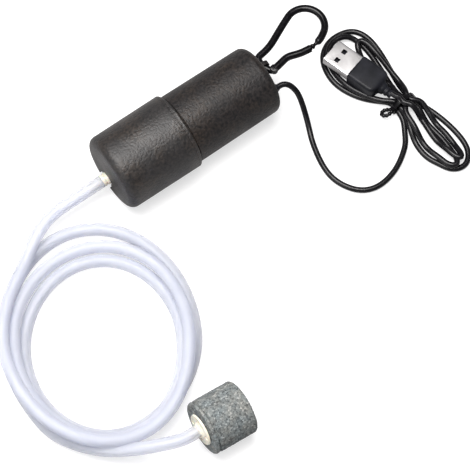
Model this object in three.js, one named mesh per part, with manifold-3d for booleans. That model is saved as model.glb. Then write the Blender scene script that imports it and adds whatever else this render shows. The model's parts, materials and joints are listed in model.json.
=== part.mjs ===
// Small USB air pump for an aquarium: a cylinder in two halves with a motor-driven diaphragm
// pump inside, a spring hook on its rear end, an air hose that ends in an air stone, and a
// USB cable folded into a hank. Millimetres, +Z up. The pump lies on its side with its axis
// along X and its outlet towards -X, and everything stands on z = 0.

import * as THREE from 'three';
import { mergeVertices } from 'three/addons/utils/BufferGeometryUtils.js';
import Module from 'manifold-3d';

const wasm = await Module();
wasm.setup();

// ---------------------------------------------------------------- driving dimensions
const capRadius = 17.8;         // outside of the front cap, which is what the pump lies on
const capLength = 36.8;
const capWall = 1.5;
const capEndWall = 2.0;
const capCorner = 3.5;          // radius of the rounded end corner
const shellFrontRadius = 16.4;  // the rear shell narrows a little towards its end
const shellRearRadius = 16.1;
const shellEnd = 81.0;          // overall length of the two halves
const shellBore = 14.4;
const shellEndWall = 2.0;
const gap = 0.3;                // clearance between pieces that would touch
const axisHeight = capRadius;

const headRoll = 0.33;          // the outlet and its slot stand this far round from straight down
const nozzleOffset = 8.2;       // outlet axis below the pump axis
const nozzleRadius = 2.75;
const nozzleReach = 2.6;        // how far the outlet's collar stands out of the cap
const barbRadius = 1.45;
const slotWidth = 8.0;

const wobbleTilt = 0.105;       // lean of the crank pin, in radians
const wobbleCentre = 23.0;      // where the crank pin's axis crosses the pump axis
const cupOffset = 7.0;          // pump cups stand this far from the axis
const cupCount = 3;
const screwOffset = 11.4;

const motorFront = 36.6;
const motorLength = 29.0;
const motorRadius = 12.2;
const shaftRadius = 1.0;
const polesInArmature = 3;
const motorScrewPlaces = [-8, 8];   // across the axis, in the head's turned frame
const motorScrewHole = 1.15;

const innerSides = 28;          // facets round a piece inside the casing

const hoseRadius = 2.8;
const hoseBore = 1.9;
const cableRadius = 1.3;

const cableExit = { x: 84.0, y: -8.0 };   // the grommet's end, at the height of the pump axis

const hookWire = 1.65;          // radius of the hook's wire
const hookYaw = 0.18;           // the hook points a little to the +Y side
const hookPivot = { x: shellEnd + 3.4, y: 3.9 };
const lugThickness = 1.9;
const lugHoleRadius = 2.1;

// ---------------------------------------------------------------- materials
function finish(color, roughness, metalness = 0) {
  return new THREE.MeshStandardMaterial({ color, roughness, metalness });
}
const casing = finish(0x1f1d1c, 0.62);
const blackGloss = finish(0x0b0b0c, 0.22);
const blackRubber = finish(0x141416, 0.5);
const ivory = finish(0xe6e0cc, 0.4);
const hoseMaterial = finish(0xdfe3f6, 0.2);
const mineral = finish(0x6b7577, 0.95);
const rubber = finish(0x2c2c2e, 0.8);
const foam = finish(0x55575c, 0.95);
const greyPlastic = finish(0x8a8d90, 0.5);
const whitePlastic = finish(0xdcdcd8, 0.5);
const steel = finish(0xb9bcc0, 0.3, 1);
const zinc = finish(0x9fa3a6, 0.4, 1);
const brass = finish(0xc6a254, 0.35, 1);
const copper = finish(0xb0683a, 0.4, 1);
const magnetMaterial = finish(0x3a3b3e, 0.6);
const carbon = finish(0x232323, 0.7);
const nickel = finish(0xd8dade, 0.15, 1);
const redLead = finish(0x9c1f1c, 0.5);

// ---------------------------------------------------------------- solids
const model = new THREE.Group();
const pump = new THREE.Group();       // everything that isn't a free cord
pump.position.z = axisHeight;
const head = new THREE.Group();       // turned with the outlet
head.rotation.x = headRoll;
pump.add(head);
const cords = new THREE.Group();
model.add(pump, cords);

// A manifold solid from a closed three.js geometry, turned inside out if its faces point in.
function solid(geometry) {
  const bare = new THREE.BufferGeometry();
  bare.setAttribute('position', geometry.getAttribute('position').clone());
  if (geometry.index) {
    bare.setIndex(geometry.index.clone());
  }
  const merged = mergeVertices(bare, 1e-4);
  const positions = Array.from(merged.getAttribute('position').array);
  const triangles = [];
  let volume = 0;
  const corner = [0, 1, 2].map(() => new THREE.Vector3());
  for (let i = 0; i < merged.index.count; i += 3) {
    const ids = [0, 1, 2].map((k) => merged.index.getX(i + k));
    if (ids[0] === ids[1] || ids[1] === ids[2] || ids[2] === ids[0]) {
      continue;
    }
    triangles.push(...ids);
    corner.forEach((point, k) => point.fromArray(positions, ids[k] * 3));
    volume += corner[0].dot(corner[1].clone().cross(corner[2]));
  }
  if (volume < 0) {
    triangles.reverse();
  }
  return new wasm.Manifold(new wasm.Mesh({
    numProp: 3,
    vertProperties: new Float32Array(positions),
    triVerts: new Uint32Array(triangles),
  }));
}

function addPiece(name, shape, material, parent = pump) {
  const { vertProperties, triVerts } = shape.getMesh();
  const geometry = new THREE.BufferGeometry();
  geometry.setAttribute('position', new THREE.BufferAttribute(vertProperties, 3));
  geometry.setIndex(new THREE.BufferAttribute(triVerts, 1));
  geometry.computeVertexNormals();
  const mesh = new THREE.Mesh(geometry, material);
  mesh.name = name;
  parent.add(mesh);
  return mesh;
}

// A solid of revolution about the X axis. The profile lists [x, radius] points, and either
// starts and ends on the axis or closes on itself.
function turned(profile, sides = 32) {
  const points = profile.map(([x, radius]) => new THREE.Vector2(radius, x));
  const startsOnAxis = points[0].x === 0;
  const endsOnAxis = points[points.length - 1].x === 0;
  if (!startsOnAxis || !endsOnAxis) {
    points.push(points[0].clone());
  }
  return solid(new THREE.LatheGeometry(points, sides).rotateZ(-Math.PI / 2));
}

function rod(x0, x1, radius, sides = 16, y = 0, z = 0) {
  return turned([[x0, 0], [x0, radius], [x1, radius], [x1, 0]], sides).translate([0, y, z]);
}

function tube(x0, x1, inner, outer, sides = 32) {
  return turned([[x0, inner], [x0, outer], [x1, outer], [x1, inner]], sides);
}

function box(x0, x1, y0, y1, z0, z1) {
  const shape = new THREE.BoxGeometry(x1 - x0, y1 - y0, z1 - z0);
  return solid(shape.translate((x0 + x1) / 2, (y0 + y1) / 2, (z0 + z1) / 2));
}

// Points on the arc of an ellipse, angles in radians.
function arc(cx, cy, rx, ry, from, to, steps) {
  return Array.from({ length: steps + 1 }, (_, i) => {
    const angle = from + ((to - from) * i) / steps;
    return [cx + rx * Math.cos(angle), cy + ry * Math.sin(angle)];
  });
}

function circle(cx, cy, radius, sides) {
  return arc(cx, cy, radius, radius, 0, (2 * Math.PI * (sides - 1)) / sides, sides - 1);
}

function prism(outline, z0, z1, holes = []) {
  const shape = new THREE.Shape(outline.map(([x, y]) => new THREE.Vector2(x, y)));
  for (const hole of holes) {
    shape.holes.push(new THREE.Path(hole.map(([x, y]) => new THREE.Vector2(x, y))));
  }
  const extruded = new THREE.ExtrudeGeometry(shape, { depth: z1 - z0, bevelEnabled: false });
  return solid(extruded.translate(0, 0, z0));
}

// A prism whose outline lies in the YZ plane and whose length runs along X.
function prismAlongX(outline, x0, x1) {
  const shape = new THREE.Shape(outline.map(([y, z]) => new THREE.Vector2(y, z)));
  const extruded = new THREE.ExtrudeGeometry(shape, { depth: x1 - x0, bevelEnabled: false });
  const toX = new THREE.Matrix4().makeBasis(
    new THREE.Vector3(0, 1, 0),
    new THREE.Vector3(0, 0, 1),
    new THREE.Vector3(1, 0, 0),
  );
  return solid(extruded.applyMatrix4(toX).translate(x0, 0, 0));
}

// A bar of round section along a smooth curve through the points, hollow if a bore is given.
function bar(points, radius, steps, sides = 8, bore = 0) {
  const curve = new THREE.CatmullRomCurve3(points.map((p) => new THREE.Vector3(...p)));
  const ring = (r) => circle(0, 0, r, sides).map(([x, y]) => new THREE.Vector2(x, y));
  const section = new THREE.Shape(ring(radius));
  if (bore > 0) {
    section.holes.push(new THREE.Path(ring(bore)));
  }
  return solid(new THREE.ExtrudeGeometry(section, { steps, extrudePath: curve }));
}

// Copies of a solid that is cut or joined at even angles round the X axis.
function around(count, make, firstAngle = 0) {
  return Array.from({ length: count }, (_, i) => {
    const degrees = firstAngle + (360 * i) / count;
    return make(i).rotate([degrees, 0, 0]);
  });
}

function cut(body, cutters) {
  return cutters.reduce((rest, cutter) => rest.subtract(cutter), body);
}

function join(parts) {
  return parts.reduce((whole, part) => whole.add(part));
}

// ---------------------------------------------------------------- casing
function frontCap() {
  const rimGroove = capLength - 1.6;
  const draft = 0.15;           // the wall widens this much from the end to the rim
  const flatRadius = capRadius - capCorner - draft;
  const profile = [
    [0, 0],
    ...arc(capCorner, flatRadius, capCorner, capCorner, Math.PI, Math.PI / 2, 6),
    [rimGroove, capRadius],
    [rimGroove + 0.2, capRadius - 0.25],
    [rimGroove + 0.5, capRadius - 0.25],
    [rimGroove + 0.7, capRadius],
    [capLength - 0.5, capRadius],
    [capLength, capRadius - 0.6],
    [capLength, capRadius - capWall],
    [capEndWall + 1.5, capRadius - capWall],
    [capEndWall, capRadius - capWall - 1.5],
    [capEndWall, 0],
  ];
  const slot = prismAlongX([
    ...arc(0, -nozzleOffset, slotWidth / 2, slotWidth / 2, 0, Math.PI, 10),
    [-slotWidth / 2, -capRadius - 1],
    [slotWidth / 2, -capRadius - 1],
  ], -1, capEndWall + 0.9);
  return turned(profile, 40).subtract(slot);
}

const sealGroove = { start: 31.0, width: 1.9, floor: 15.0 };
const spigotStart = 26.5;       // the rear shell's neck reaches this far forward inside the cap
const grommetNeck = 2.0;

function rearShell() {
  const corner = 3.7;
  const spigotRadius = capRadius - capWall - 0.35;
  const profile = [
    [spigotStart, shellBore],
    [spigotStart, spigotRadius - 0.4],
    [spigotStart + 0.4, spigotRadius],
    [sealGroove.start, spigotRadius],
    [sealGroove.start, sealGroove.floor],
    [sealGroove.start + sealGroove.width, sealGroove.floor],
    [sealGroove.start + sealGroove.width, spigotRadius],
    [capLength + gap, spigotRadius],
    [capLength + gap, shellFrontRadius],
    ...arc(shellEnd - corner, shellRearRadius - corner, corner, corner, Math.PI / 2, 0, 6),
    [shellEnd, 0],
    [shellEnd - shellEndWall, 0],
    [shellEnd - shellEndWall, shellBore - 1.2],
    [shellEnd - shellEndWall - 1.2, shellBore],
  ];
  const body = turned(profile, 40);
  const lugTip = lugHoleRadius + 0.8;
  const outline = [
    [shellEnd - 1.0, -4.6],
    [shellEnd + 0.4, -4.2],
    ...arc(hookPivot.x, 0, lugTip, lugTip, -Math.PI / 2, Math.PI / 2, 12),
    [shellEnd + 0.4, 4.2],
    [shellEnd - 1.0, 4.6],
  ];
  const hole = circle(hookPivot.x, 0, lugHoleRadius, 16);
  const lug = prism(outline, -lugThickness / 2, lugThickness / 2, [hole])
    .rotate([90, 0, 0])
    .translate([0, hookPivot.y, 0]);
  const cableHole = rod(shellEnd - 4, shellEnd + 1, grommetNeck + gap, 24, cableExit.y);
  return body.add(lug).subtract(cableHole);
}

function cableGrommet() {
  const flange = 2.9;
  const inside = shellEnd - shellEndWall;
  return turned([
    [inside - 1.4, 0],
    [inside - 1.4, flange],
    [inside - gap, flange],
    [inside - gap, grommetNeck],
    [shellEnd + gap, grommetNeck],
    [shellEnd + gap, 2.7],
    [shellEnd + 0.9, 2.5],
    [shellEnd + 1.3, 1.75],
    [cableExit.x, 1.5],
    [cableExit.x, 0],
  ], 16).translate([0, cableExit.y, 0]);
}

function addCasing() {
  addPiece('front_cap', frontCap(), casing, head);
  addPiece('rear_shell', rearShell(), casing);
  const ringAt = sealGroove.start + sealGroove.width / 2;
  const ringSection = arc(ringAt, sealGroove.floor + 2 * gap, 0.6, 0.35, 0, (2 * Math.PI * 7) / 8, 7);
  const ring = turned(ringSection, innerSides);
  addPiece('seal_ring', ring, rubber);
  addPiece('cable_grommet', cableGrommet(), blackRubber);
}

// ---------------------------------------------------------------- pump head
// The head is a stack of round plates. Each entry is a plate's front and rear face.
const stack = {
  cover: [3.9, 7.8],
  valveSheet: [8.1, 8.8],
  valvePlate: [9.1, 12.1],
  diaphragm: [12.4, 13.4],
  seat: [13.7, 17.2],
  bracket: [17.5, 36.2],
};
const plateRadius = 13.4;
const portRadius = 0.9;   // air ports through the valve parts
const firstCup = 30;      // degrees round the X axis, from +Y towards +Z
const firstScrew = 90;

function atRadius(shape, radius) {
  return shape.translate([0, radius, 0]);
}

function screwHoles(x0, x1, radius = 1.1) {
  return around(cupCount, () => atRadius(rod(x0, x1, radius, 12), screwOffset), firstScrew);
}

function headCover() {
  const [front, rear] = stack.cover;
  const edge = 0.5;
  const disc = turned([
    [front, 0],
    [front, plateRadius - edge],
    [front + edge, plateRadius],
    [rear, plateRadius],
    [rear, 0],
  ], innerSides);
  const collar = turned([
    [-9.0, 0],
    [-9.0, 1.15],
    [-7.6, barbRadius],
    [-7.4, 1.25],
    [-5.6, barbRadius],
    [-5.4, 1.25],
    [-nozzleReach, 1.35],
    [-nozzleReach, nozzleRadius - 0.25],
    [-nozzleReach + 0.25, nozzleRadius],
    [front + edge, nozzleRadius],
    [front + edge, 0],
  ], 16).translate([0, 0, -nozzleOffset]);
  const chamberFloor = 6.0;
  const airway = rod(-10, chamberFloor + 0.5, 0.75, 12, 0, -nozzleOffset);
  const chamber = rod(chamberFloor, rear + 1, 6.2, 20);
  const link = box(chamberFloor, rear + 1, -1.2, 1.2, -nozzleOffset - 0.8, 0);
  return cut(disc.add(collar), [airway, chamber, link, ...screwHoles(front - 1, rear + 1)]);
}

function diaphragm() {
  const [front, rear] = stack.diaphragm;
  const stemEnd = wobbleCentre + 2.6;
  const sheet = rod(front, rear, plateRadius - 0.8, innerSides);
  const cups = around(cupCount, () => atRadius(turned([
    [front + 0.6, 0],
    [front + 0.6, 3.6],
    [17.2, 3.4],
    [17.8, 2.0],
    [18.2, 1.0],
    [stemEnd, 1.0],
    [stemEnd, 0],
  ], 14), cupOffset), firstCup);
  const hollows = around(cupCount, () => atRadius(rod(front - 1, 16.6, 2.8, 14), cupOffset), firstCup);
  return cut(join([sheet, ...cups]), [...hollows, ...screwHoles(front - 1, rear + 1)]);
}

function pumpBracket() {
  const [front, rear] = stack.bracket;
  const wall = tube(front, rear, plateRadius - 1.5, plateRadius, innerSides);
  const floor = rod(rear - 2, rear, plateRadius - 1.2, innerSides);
  const bosses = around(cupCount, () => atRadius(rod(front, front + 4, 1.9, 16), screwOffset), firstScrew);
  const windows = around(cupCount, () => box(24.5, 31.5, 10, 15, -4, 4), firstCup);
  const outer = rod(front - 1, rear + 1, plateRadius, innerSides);
  const shaftHole = rod(rear - 3, rear + 1, 3.5, 24);
  const motorHoles = motorScrewPlaces.map((y) => rod(rear - 3, rear + 1, motorScrewHole, 12, y));
  return cut(join([wall, floor, ...bosses.map((boss) => boss.intersect(outer))]), [
    ...windows,
    shaftHole,
    ...motorHoles,
    ...screwHoles(front - 1, front + 3),
  ]);
}

function wobblePlate() {
  const half = 1.1;       // half the plate's thickness
  const arms = around(cupCount, () => box(-half, half, 0, cupOffset + 2.3, -2.5, 2.5), firstCup);
  const hub = rod(-half, 3.6, 3.2, 24);
  const centreDisc = rod(-half, half, 5.2, 32);
  const stemHoles = around(cupCount, () => atRadius(rod(-3, 3, 1.6, 16), cupOffset), firstCup);
  const pinHole = rod(1.2, 5, shaftRadius + 0.1, 16);
  return cut(join([centreDisc, hub, ...arms]), [...stemHoles, pinHole]);
}

function addHead() {
  addPiece('head_cover', headCover(), ivory, head);
  const holes = (x0, x1, radius) => around(
    cupCount,
    () => atRadius(rod(x0, x1, radius, 16), cupOffset),
    firstCup,
  );
  const plate = ([front, rear], radius, cutters) => cut(rod(front, rear, radius, innerSides), [
    ...cutters,
    ...screwHoles(front - 1, rear + 1),
  ]);
  const valveSheet = plate(stack.valveSheet, plateRadius - 0.6, holes(8, 9, portRadius));
  addPiece('valve_sheet', valveSheet, rubber, head);
  const valvePlate = plate(stack.valvePlate, plateRadius, [
    ...holes(9, 13, portRadius),
    ...holes(11.2, 13, 2.4),
  ]);
  addPiece('valve_plate', valvePlate, whitePlastic, head);
  addPiece('diaphragm', diaphragm(), rubber, head);
  const seat = plate(stack.seat, plateRadius, holes(13, 18, 4.1));
  addPiece('diaphragm_seat', seat, whitePlastic, head);
  addPiece('pump_bracket', pumpBracket(), greyPlastic, head);
  addPiece('head_sleeve', tube(5.0, 14.0, plateRadius + gap, 15.9, innerSides), foam, head);
  const screw = () => turned([[2.6, 0], [2.6, 1.5], [3.6, 1.7], [3.6, 0.8], [20, 0.8], [20, 0]], 12);
  around(cupCount, () => atRadius(screw(), screwOffset), firstScrew)
    .forEach((shape, i) => addPiece(`head_screw_${i + 1}`, shape, zinc, head));
  const wobbleGroup = new THREE.Group();
  wobbleGroup.position.x = wobbleCentre;
  wobbleGroup.rotation.set(0, -wobbleTilt, 0);
  const wobbleTurn = new THREE.Group();
  wobbleTurn.rotation.x = headRoll;
  wobbleGroup.add(wobbleTurn);
  pump.add(wobbleGroup);
  addPiece('wobble_plate', wobblePlate(), whitePlastic, wobbleTurn);
  addPiece('crank_pin', rod(1.5, 7.8, shaftRadius, 16), steel, wobbleGroup);
}

// ---------------------------------------------------------------- motor
function eccentricHub() {
  const pinBore = rod(4.0, 8.1, shaftRadius + 0.06, 16)
    .rotate([0, -(wobbleTilt * 180) / Math.PI, 0])
    .translate([wobbleCentre, 0, 0]);
  const shaftBore = rod(31.4, 34.5, shaftRadius + 0.05, 16);
  return cut(rod(28.2, 33.8, 4.6, 28), [pinBore, shaftBore]);
}

const armature = [43.5, 58.0];   // front and rear ends of the iron core

function armatureCore() {
  const neck = (x0, x1) => box(x0, x1, 0, 7.2, -1.3, 1.3);
  const headArc = [
    ...arc(0, 0, 8.4, 8.4, -0.87, 0.87, 8),
    ...arc(0, 0, 6.8, 6.8, 0.87, -0.87, 8),
  ];
  const [front, rear] = armature;
  const poles = around(polesInArmature, () => neck(front, rear).add(prismAlongX(headArc, front, rear)));
  const bore = rod(front - 1, rear + 1, shaftRadius + 0.05, 16);
  return join([rod(front, rear, 2.5, 24), ...poles]).subtract(bore);
}

function addMotor() {
  const canEnd = motorFront + motorLength;
  const can = turned([
    [motorFront, 2.8],
    [motorFront, motorRadius - 1],
    [motorFront + 1, motorRadius],
    [canEnd, motorRadius],
    [canEnd, motorRadius - 0.9],
    [motorFront + 1, motorRadius - 0.9],
    [motorFront + 1, 2.8],
  ], innerSides);
  const canHoles = motorScrewPlaces.map((y) => rod(motorFront - 1, motorFront + 2, motorScrewHole, 12, y));
  addPiece('motor_can', cut(can, canHoles), zinc, head);
  const bellStart = canEnd + gap;
  const slots = [-6.2, 6.2].map((z) => box(60, 75, -1.5, 1.5, z - 0.55, z + 0.55));
  const bell = turned([
    [bellStart, 2.8],
    [bellStart, motorRadius],
    [bellStart + 1.8, motorRadius],
    [bellStart + 2.6, motorRadius - 1.2],
    [bellStart + 2.6, 2.8],
  ], innerSides);
  addPiece('motor_end_bell', cut(bell, slots), blackRubber);
  addPiece('front_bush', tube(35.6, 39.0, shaftRadius + 0.06, 2.5, 20), brass);
  addPiece('rear_bush', tube(bellStart, bellStart + 2.6, shaftRadius + 0.06, 2.5, 20), brass);
  const magnetArc = [
    ...arc(0, 0, 10.9, 10.9, -1.1, 1.1, 12),
    ...arc(0, 0, 9.0, 9.0, 1.1, -1.1, 12),
  ];
  const magnetShape = prismAlongX(magnetArc, armature[0] - 2.5, armature[1] + 2);
  addPiece('magnet_1', magnetShape, magnetMaterial);
  addPiece('magnet_2', magnetShape.rotate([180, 0, 0]), magnetMaterial);
  addPiece('motor_shaft', rod(31.6, 68.6, shaftRadius, 16), steel);
  addPiece('eccentric_hub', eccentricHub(), brass);
  addPiece('armature_core', armatureCore(), steel);
  const [coreFront, coreRear] = armature;
  const winding = () => box(coreFront - 1.7, coreRear + 1.7, 2.9, 5.3, -3.1, 3.1)
    .subtract(box(coreFront - gap, coreRear + gap, 2, 6, -1.6, 1.6));
  around(polesInArmature, winding)
    .forEach((shape, i) => addPiece(`winding_${i + 1}`, shape, copper));
  addPiece('commutator', tube(60.2, 64.4, shaftRadius + 0.05, 2.6, 24), copper);
  [-1, 1].forEach((side, i) => {
    const brush = box(61.4, 63.2, -0.9, 0.9, 2.7, 5.6).scale([1, 1, side]);
    addPiece(`brush_${i + 1}`, brush, carbon);
    const strip = box(61.0, 71.5, -1.2, 1.2, 6.0, 6.4).scale([1, 1, side]);
    addPiece(`terminal_${i + 1}`, strip, brass);
    const seatAt = stack.bracket[1] - 2 - gap;
    const screw = turned([
      [seatAt - 1.5, 0],
      [seatAt - 1.5, 1.7],
      [seatAt, 1.7],
      [seatAt, 0.85],
      [seatAt + 4, 0.85],
      [seatAt + 4, 0],
    ], 12);
    addPiece(`motor_screw_${i + 1}`, screw.translate([0, motorScrewPlaces[i], 0]), zinc, head);
  });
  addPiece('motor_sleeve', tube(42, 62, motorRadius + gap, shellBore - gap, innerSides), foam);
  const lead = (side) => bar([
    [shellEnd - shellEndWall - 1.9, cableExit.y, 0.9 * side],
    [75.5, -7.0, 2.2 * side],
    [74.0, -3.6, 5.0 * side],
    [71.9, 0, 6.2 * side],
  ], 0.5, 12, 8);
  addPiece('lead_positive', lead(1), redLead);
  addPiece('lead_negative', lead(-1), carbon);
}

// ---------------------------------------------------------------- spring hook
// The hook is drawn in its own frame: +X from its narrow end to its wide end, and its wire
// crosses the lug's hole at the origin.
const hookSides = 8;
const hook = {
  narrowHalf: 4.5,
  narrowDepth: 2.4,
  wideRadius: 8.75,
  wideCentre: [27.2, 0.4],
  eyeRadius: 1.45,
  trimRadius: 2.1,
  knuckleRadius: 1.68,
  gatePivot: [2.4, -4.5],
  noseStart: 26.4,
  noseTip: 20.8,
  noseSide: -8.9,
};

function hookBodyPath() {
  const { narrowHalf, narrowDepth, wideRadius, wideCentre, gatePivot } = hook;
  const flat = [
    gatePivot,
    ...arc(narrowDepth, 0, narrowDepth, narrowHalf, -Math.PI / 2, -1.5 * Math.PI, 8).slice(1),
    [5.6, 4.5],
    [10.3, 5.0],
    [17.4, 6.9],
    ...arc(...wideCentre, wideRadius, wideRadius, 0.6 * Math.PI, -0.4 * Math.PI, 10),
    [hook.noseStart, hook.noseSide],
  ];
  return flat.map(([x, y]) => [x, y, 0]);
}

function hookBody() {
  const [px, py] = hook.gatePivot;
  const wire = bar(hookBodyPath(), hookWire, 44, hookSides);
  const nose = turned([
    [hook.noseTip + 0.6, 0],
    [hook.noseTip + 0.6, 0.7],
    [hook.noseTip + 0.9, 1.3],
    [hook.noseTip + 1.9, 1.3],
    [hook.noseTip + 2.3, 0.75],
    [hook.noseTip + 3.2, 0.75],
    [hook.noseStart - 1.2, hookWire],
    [hook.noseStart + 0.2, hookWire],
    [hook.noseStart + 0.2, 0],
  ], 12).translate([0, hook.noseSide, 0]);
  const tongue = box(hook.noseTip - 2.2, hook.noseTip + 1, -0.5, 0.5, -0.45, 0.45)
    .translate([0, hook.noseSide, 0]);
  const eye = prism(circle(px, py, hook.eyeRadius, 12), -0.5, 0.5);
  const trims = [[0.5, 2], [-2, -0.5]]
    .map(([z0, z1]) => prism(circle(px, py, hook.trimRadius, 12), z0, z1));
  const pinHole = prism(circle(px, py, 0.55, 12), -2, 2);
  return join([wire, nose, tongue]).subtract(trims[0]).subtract(trims[1]).add(eye).subtract(pinHole);
}

function hookGate() {
  const [px, py] = hook.gatePivot;
  const end = hook.noseTip + 0.3;
  const wire = bar([
    [px, py, 0],
    [7.0, -4.5, 0],
    [10.4, -4.6, 0],
    [13.4, -5.9, 0],
    [16.6, -7.5, 0],
    [end, hook.noseSide, 0],
  ], hookWire + 0.05, 14, 8);
  const knuckle = prism(circle(px, py, hook.knuckleRadius, 12), -hookWire, hookWire);
  const pivotSlot = prism([
    ...arc(px, py, 1.9, 1.9, Math.PI / 2, 1.5 * Math.PI, 10),
    [px + 2.8, py - 1.9],
    [px + 2.8, py + 1.9],
  ], -0.7, 0.7);
  const noseSlot = box(end - 3.0, end + 1, hook.noseSide - 2, hook.noseSide + 2, -0.75, 0.75);
  const pinHole = prism(circle(px, py, 0.5, 12), -2, 2);
  return cut(wire.add(knuckle), [pivotSlot, noseSlot, pinHole]);
}

function addHook() {
  const hookGroup = new THREE.Group();
  hookGroup.position.set(hookPivot.x, hookPivot.y, 0);
  hookGroup.rotation.z = hookYaw;
  pump.add(hookGroup);
  addPiece('hook_body', hookBody(), blackGloss, hookGroup);
  addPiece('hook_gate', hookGate(), blackGloss, hookGroup);
  const [px, py] = hook.gatePivot;
  const pin = prism(circle(px, py, 0.44, 12), -1.55, 1.55);
  addPiece('gate_pin', pin, blackGloss, hookGroup);
  const spring = bar([
    [px + 1.75, py - 0.3, 0],
    [px + 2.05, py + 0.2, 0],
    [px + 2.45, py - 0.1, 0],
  ], 0.15, 6, 6);
  addPiece('gate_spring', spring, steel, hookGroup);
}

// ---------------------------------------------------------------- air hose and air stone
const nozzle = {
  y: nozzleOffset * Math.sin(headRoll),
  z: axisHeight - nozzleOffset * Math.cos(headRoll),
};

// The hose lies in an oval coil. Its long axis is turned from +X by coilTurn.
const coil = {
  x: -41.2,
  y: -53.2,
  turn: 1.16,
  outer: [52.2, 44.2],
  inner: [34.6, 28.0],
  height: 10.8,
};

const feedRoute = [
  [-nozzleReach - gap, nozzle.y, nozzle.z],
  [-9.0, nozzle.y, nozzle.z],
  [-18.2, 2.6, 9.7],
  [-29.0, 2.1, 9.2],
  [-33.0, 1.5, 9.0],
];

// The hose holds the stone's front a little off the surface, so it leans by pitch.
const stone = {
  x: -32.7,
  y: -115.1,
  yaw: -0.05,
  pitch: 0.12,
  radius: 12.0,
  length: 20.2,
  collar: 1.4,
};

const stoneRoute = [
  [-59.6, -105.9, 7.6],
  [-56.2, -107.9, 9.0],
  [-52.7, -109.8, 10.6],
  [-46.1, -112.8, 13.3],
  [-41.6, -114.3, 14.9],
  [-38.2, -114.8, 15.0],
  [-34.4, -115.0, 14.6],
];

function addHose() {
  addPiece('hose_feed', bar(feedRoute, hoseRadius, 10, 10, hoseBore), hoseMaterial, cords);
  const [outerA, outerB] = coil.outer;
  const [innerA, innerB] = coil.inner;
  const full = (2 * Math.PI * 39) / 40;
  const ring = prism(arc(0, 0, outerA, outerB, 0, full, 39), 0, coil.height, [
    arc(0, 0, innerA, innerB, 0, full, 39),
  ]);
  const placed = ring.rotate([0, 0, (coil.turn * 180) / Math.PI]).translate([coil.x, coil.y, 0]);
  addPiece('hose_coil', placed, hoseMaterial, cords);
  addPiece('hose_end', bar(stoneRoute, hoseRadius, 12, 10, hoseBore), hoseMaterial, cords);
}

function addStone() {
  const group = new THREE.Group();
  const frontHeight = stone.radius * Math.cos(stone.pitch) + stone.length * Math.sin(stone.pitch);
  group.position.set(stone.x, stone.y, frontHeight);
  group.rotation.set(0, stone.pitch, stone.yaw, 'ZYX');
  cords.add(group);
  const edge = 0.7;
  const body = turned([
    [0, 2.6],
    [0, stone.radius - edge],
    [edge, stone.radius],
    [stone.length - edge, stone.radius],
    [stone.length, stone.radius - edge],
    [stone.length, 0],
    [7.5, 0],
    [7.5, 2.6],
  ], innerSides);
  addPiece('air_stone', body, mineral, group);
  const collar = turned([
    [-6.4, 0.8],
    [-6.4, 1.2],
    [-5.0, barbRadius],
    [-4.8, 1.25],
    [-stone.collar, 1.3],
    [-stone.collar, 2.6],
    [-stone.collar + 0.5, 2.6],
    [-stone.collar + 0.5, 6.7],
    [-gap - 0.2, 7.2],
    [-gap, 7.2],
    [-gap, 2.2],
    [6.6, 2.2],
    [6.6, 0.8],
  ], 20);
  addPiece('stone_collar', collar, ivory, group);
}

// ---------------------------------------------------------------- cable, hank and plug
const cableRoute = [
  [cableExit.x + gap, cableExit.y, axisHeight],
  [86.5, -8.2, 17.2],
  [88.3, -9.7, 15.6],
  [89.7, -11.9, 13.0],
  [90.5, -14.6, 9.4],
  [90.2, -18.3, 5.4],
  [89.1, -22.6, 2.6],
  [87.4, -27.2, 1.3],
  [85.7, -31.4, 1.3],
  [82.9, -41.2, 1.3],
  [82.4, -51.5, 1.3],
  [85.7, -59.6, 1.3],
  [90.4, -64.2, 1.3],
  [97.2, -66.1, 1.3],
  [106.8, -64.2, 1.3],
  [114.8, -59.8, 1.3],
  [119.3, -56.2, 1.3],
];

// The hank is a long bow tie that lies along Y: a waist under the tie and a lobe at each end.
// The far lobe lies flat under the plug, and the runs are bunched where the tie holds them.
const hank = {
  x: 128.7,
  waistY: -41.1,
  waistHalf: 5.2,
  height: 5.0,
  flatFrom: -37.5,
  flatHeight: 2.6,
  farLobe: { x: 123.2, y: -11.7, rx: 14.0, ry: 16.0 },
  nearLobe: { x: 130.6, y: -69.2, rx: 10.2, ry: 12.1 },
};
const bunch = { half: 2.6, top: 7.3, behind: 2.6, ahead: 3.9 };   // the topmost runs, under the tie
const tie = { thickness: 0.6, half: 1.1, lift: 0.9, roomEachSide: 3.2 };

function hankOutline() {
  const { x, waistY, waistHalf, farLobe, nearLobe } = hank;
  return [
    ...arc(farLobe.x, farLobe.y, farLobe.rx, farLobe.ry, -0.12, Math.PI + 0.12, 16),
    [x - waistHalf, waistY + tie.roomEachSide],
    [x - waistHalf, waistY - tie.roomEachSide],
    ...arc(nearLobe.x, nearLobe.y, nearLobe.rx, nearLobe.ry, Math.PI - 0.15, 2 * Math.PI + 0.15, 16),
    [x + waistHalf, waistY - tie.roomEachSide],
    [x + waistHalf, waistY + tie.roomEachSide],
  ];
}

function cableHank() {
  const { x, waistY, height, flatFrom, flatHeight } = hank;
  const wide = 20;
  const bunched = box(
    x - bunch.half,
    x + bunch.half,
    waistY - bunch.behind,
    waistY + bunch.ahead,
    tie.lift,
    bunch.top,
  );
  const overFlat = box(x - wide, x + wide, flatFrom, flatFrom + 60, flatHeight, height + 1);
  const underTie = box(
    x - wide,
    x + wide,
    waistY - tie.roomEachSide,
    waistY + tie.roomEachSide,
    -1,
    tie.lift,
  );
  return cut(prism(hankOutline(), 0, height), [overFlat, underTie]).add(bunched);
}

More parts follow.
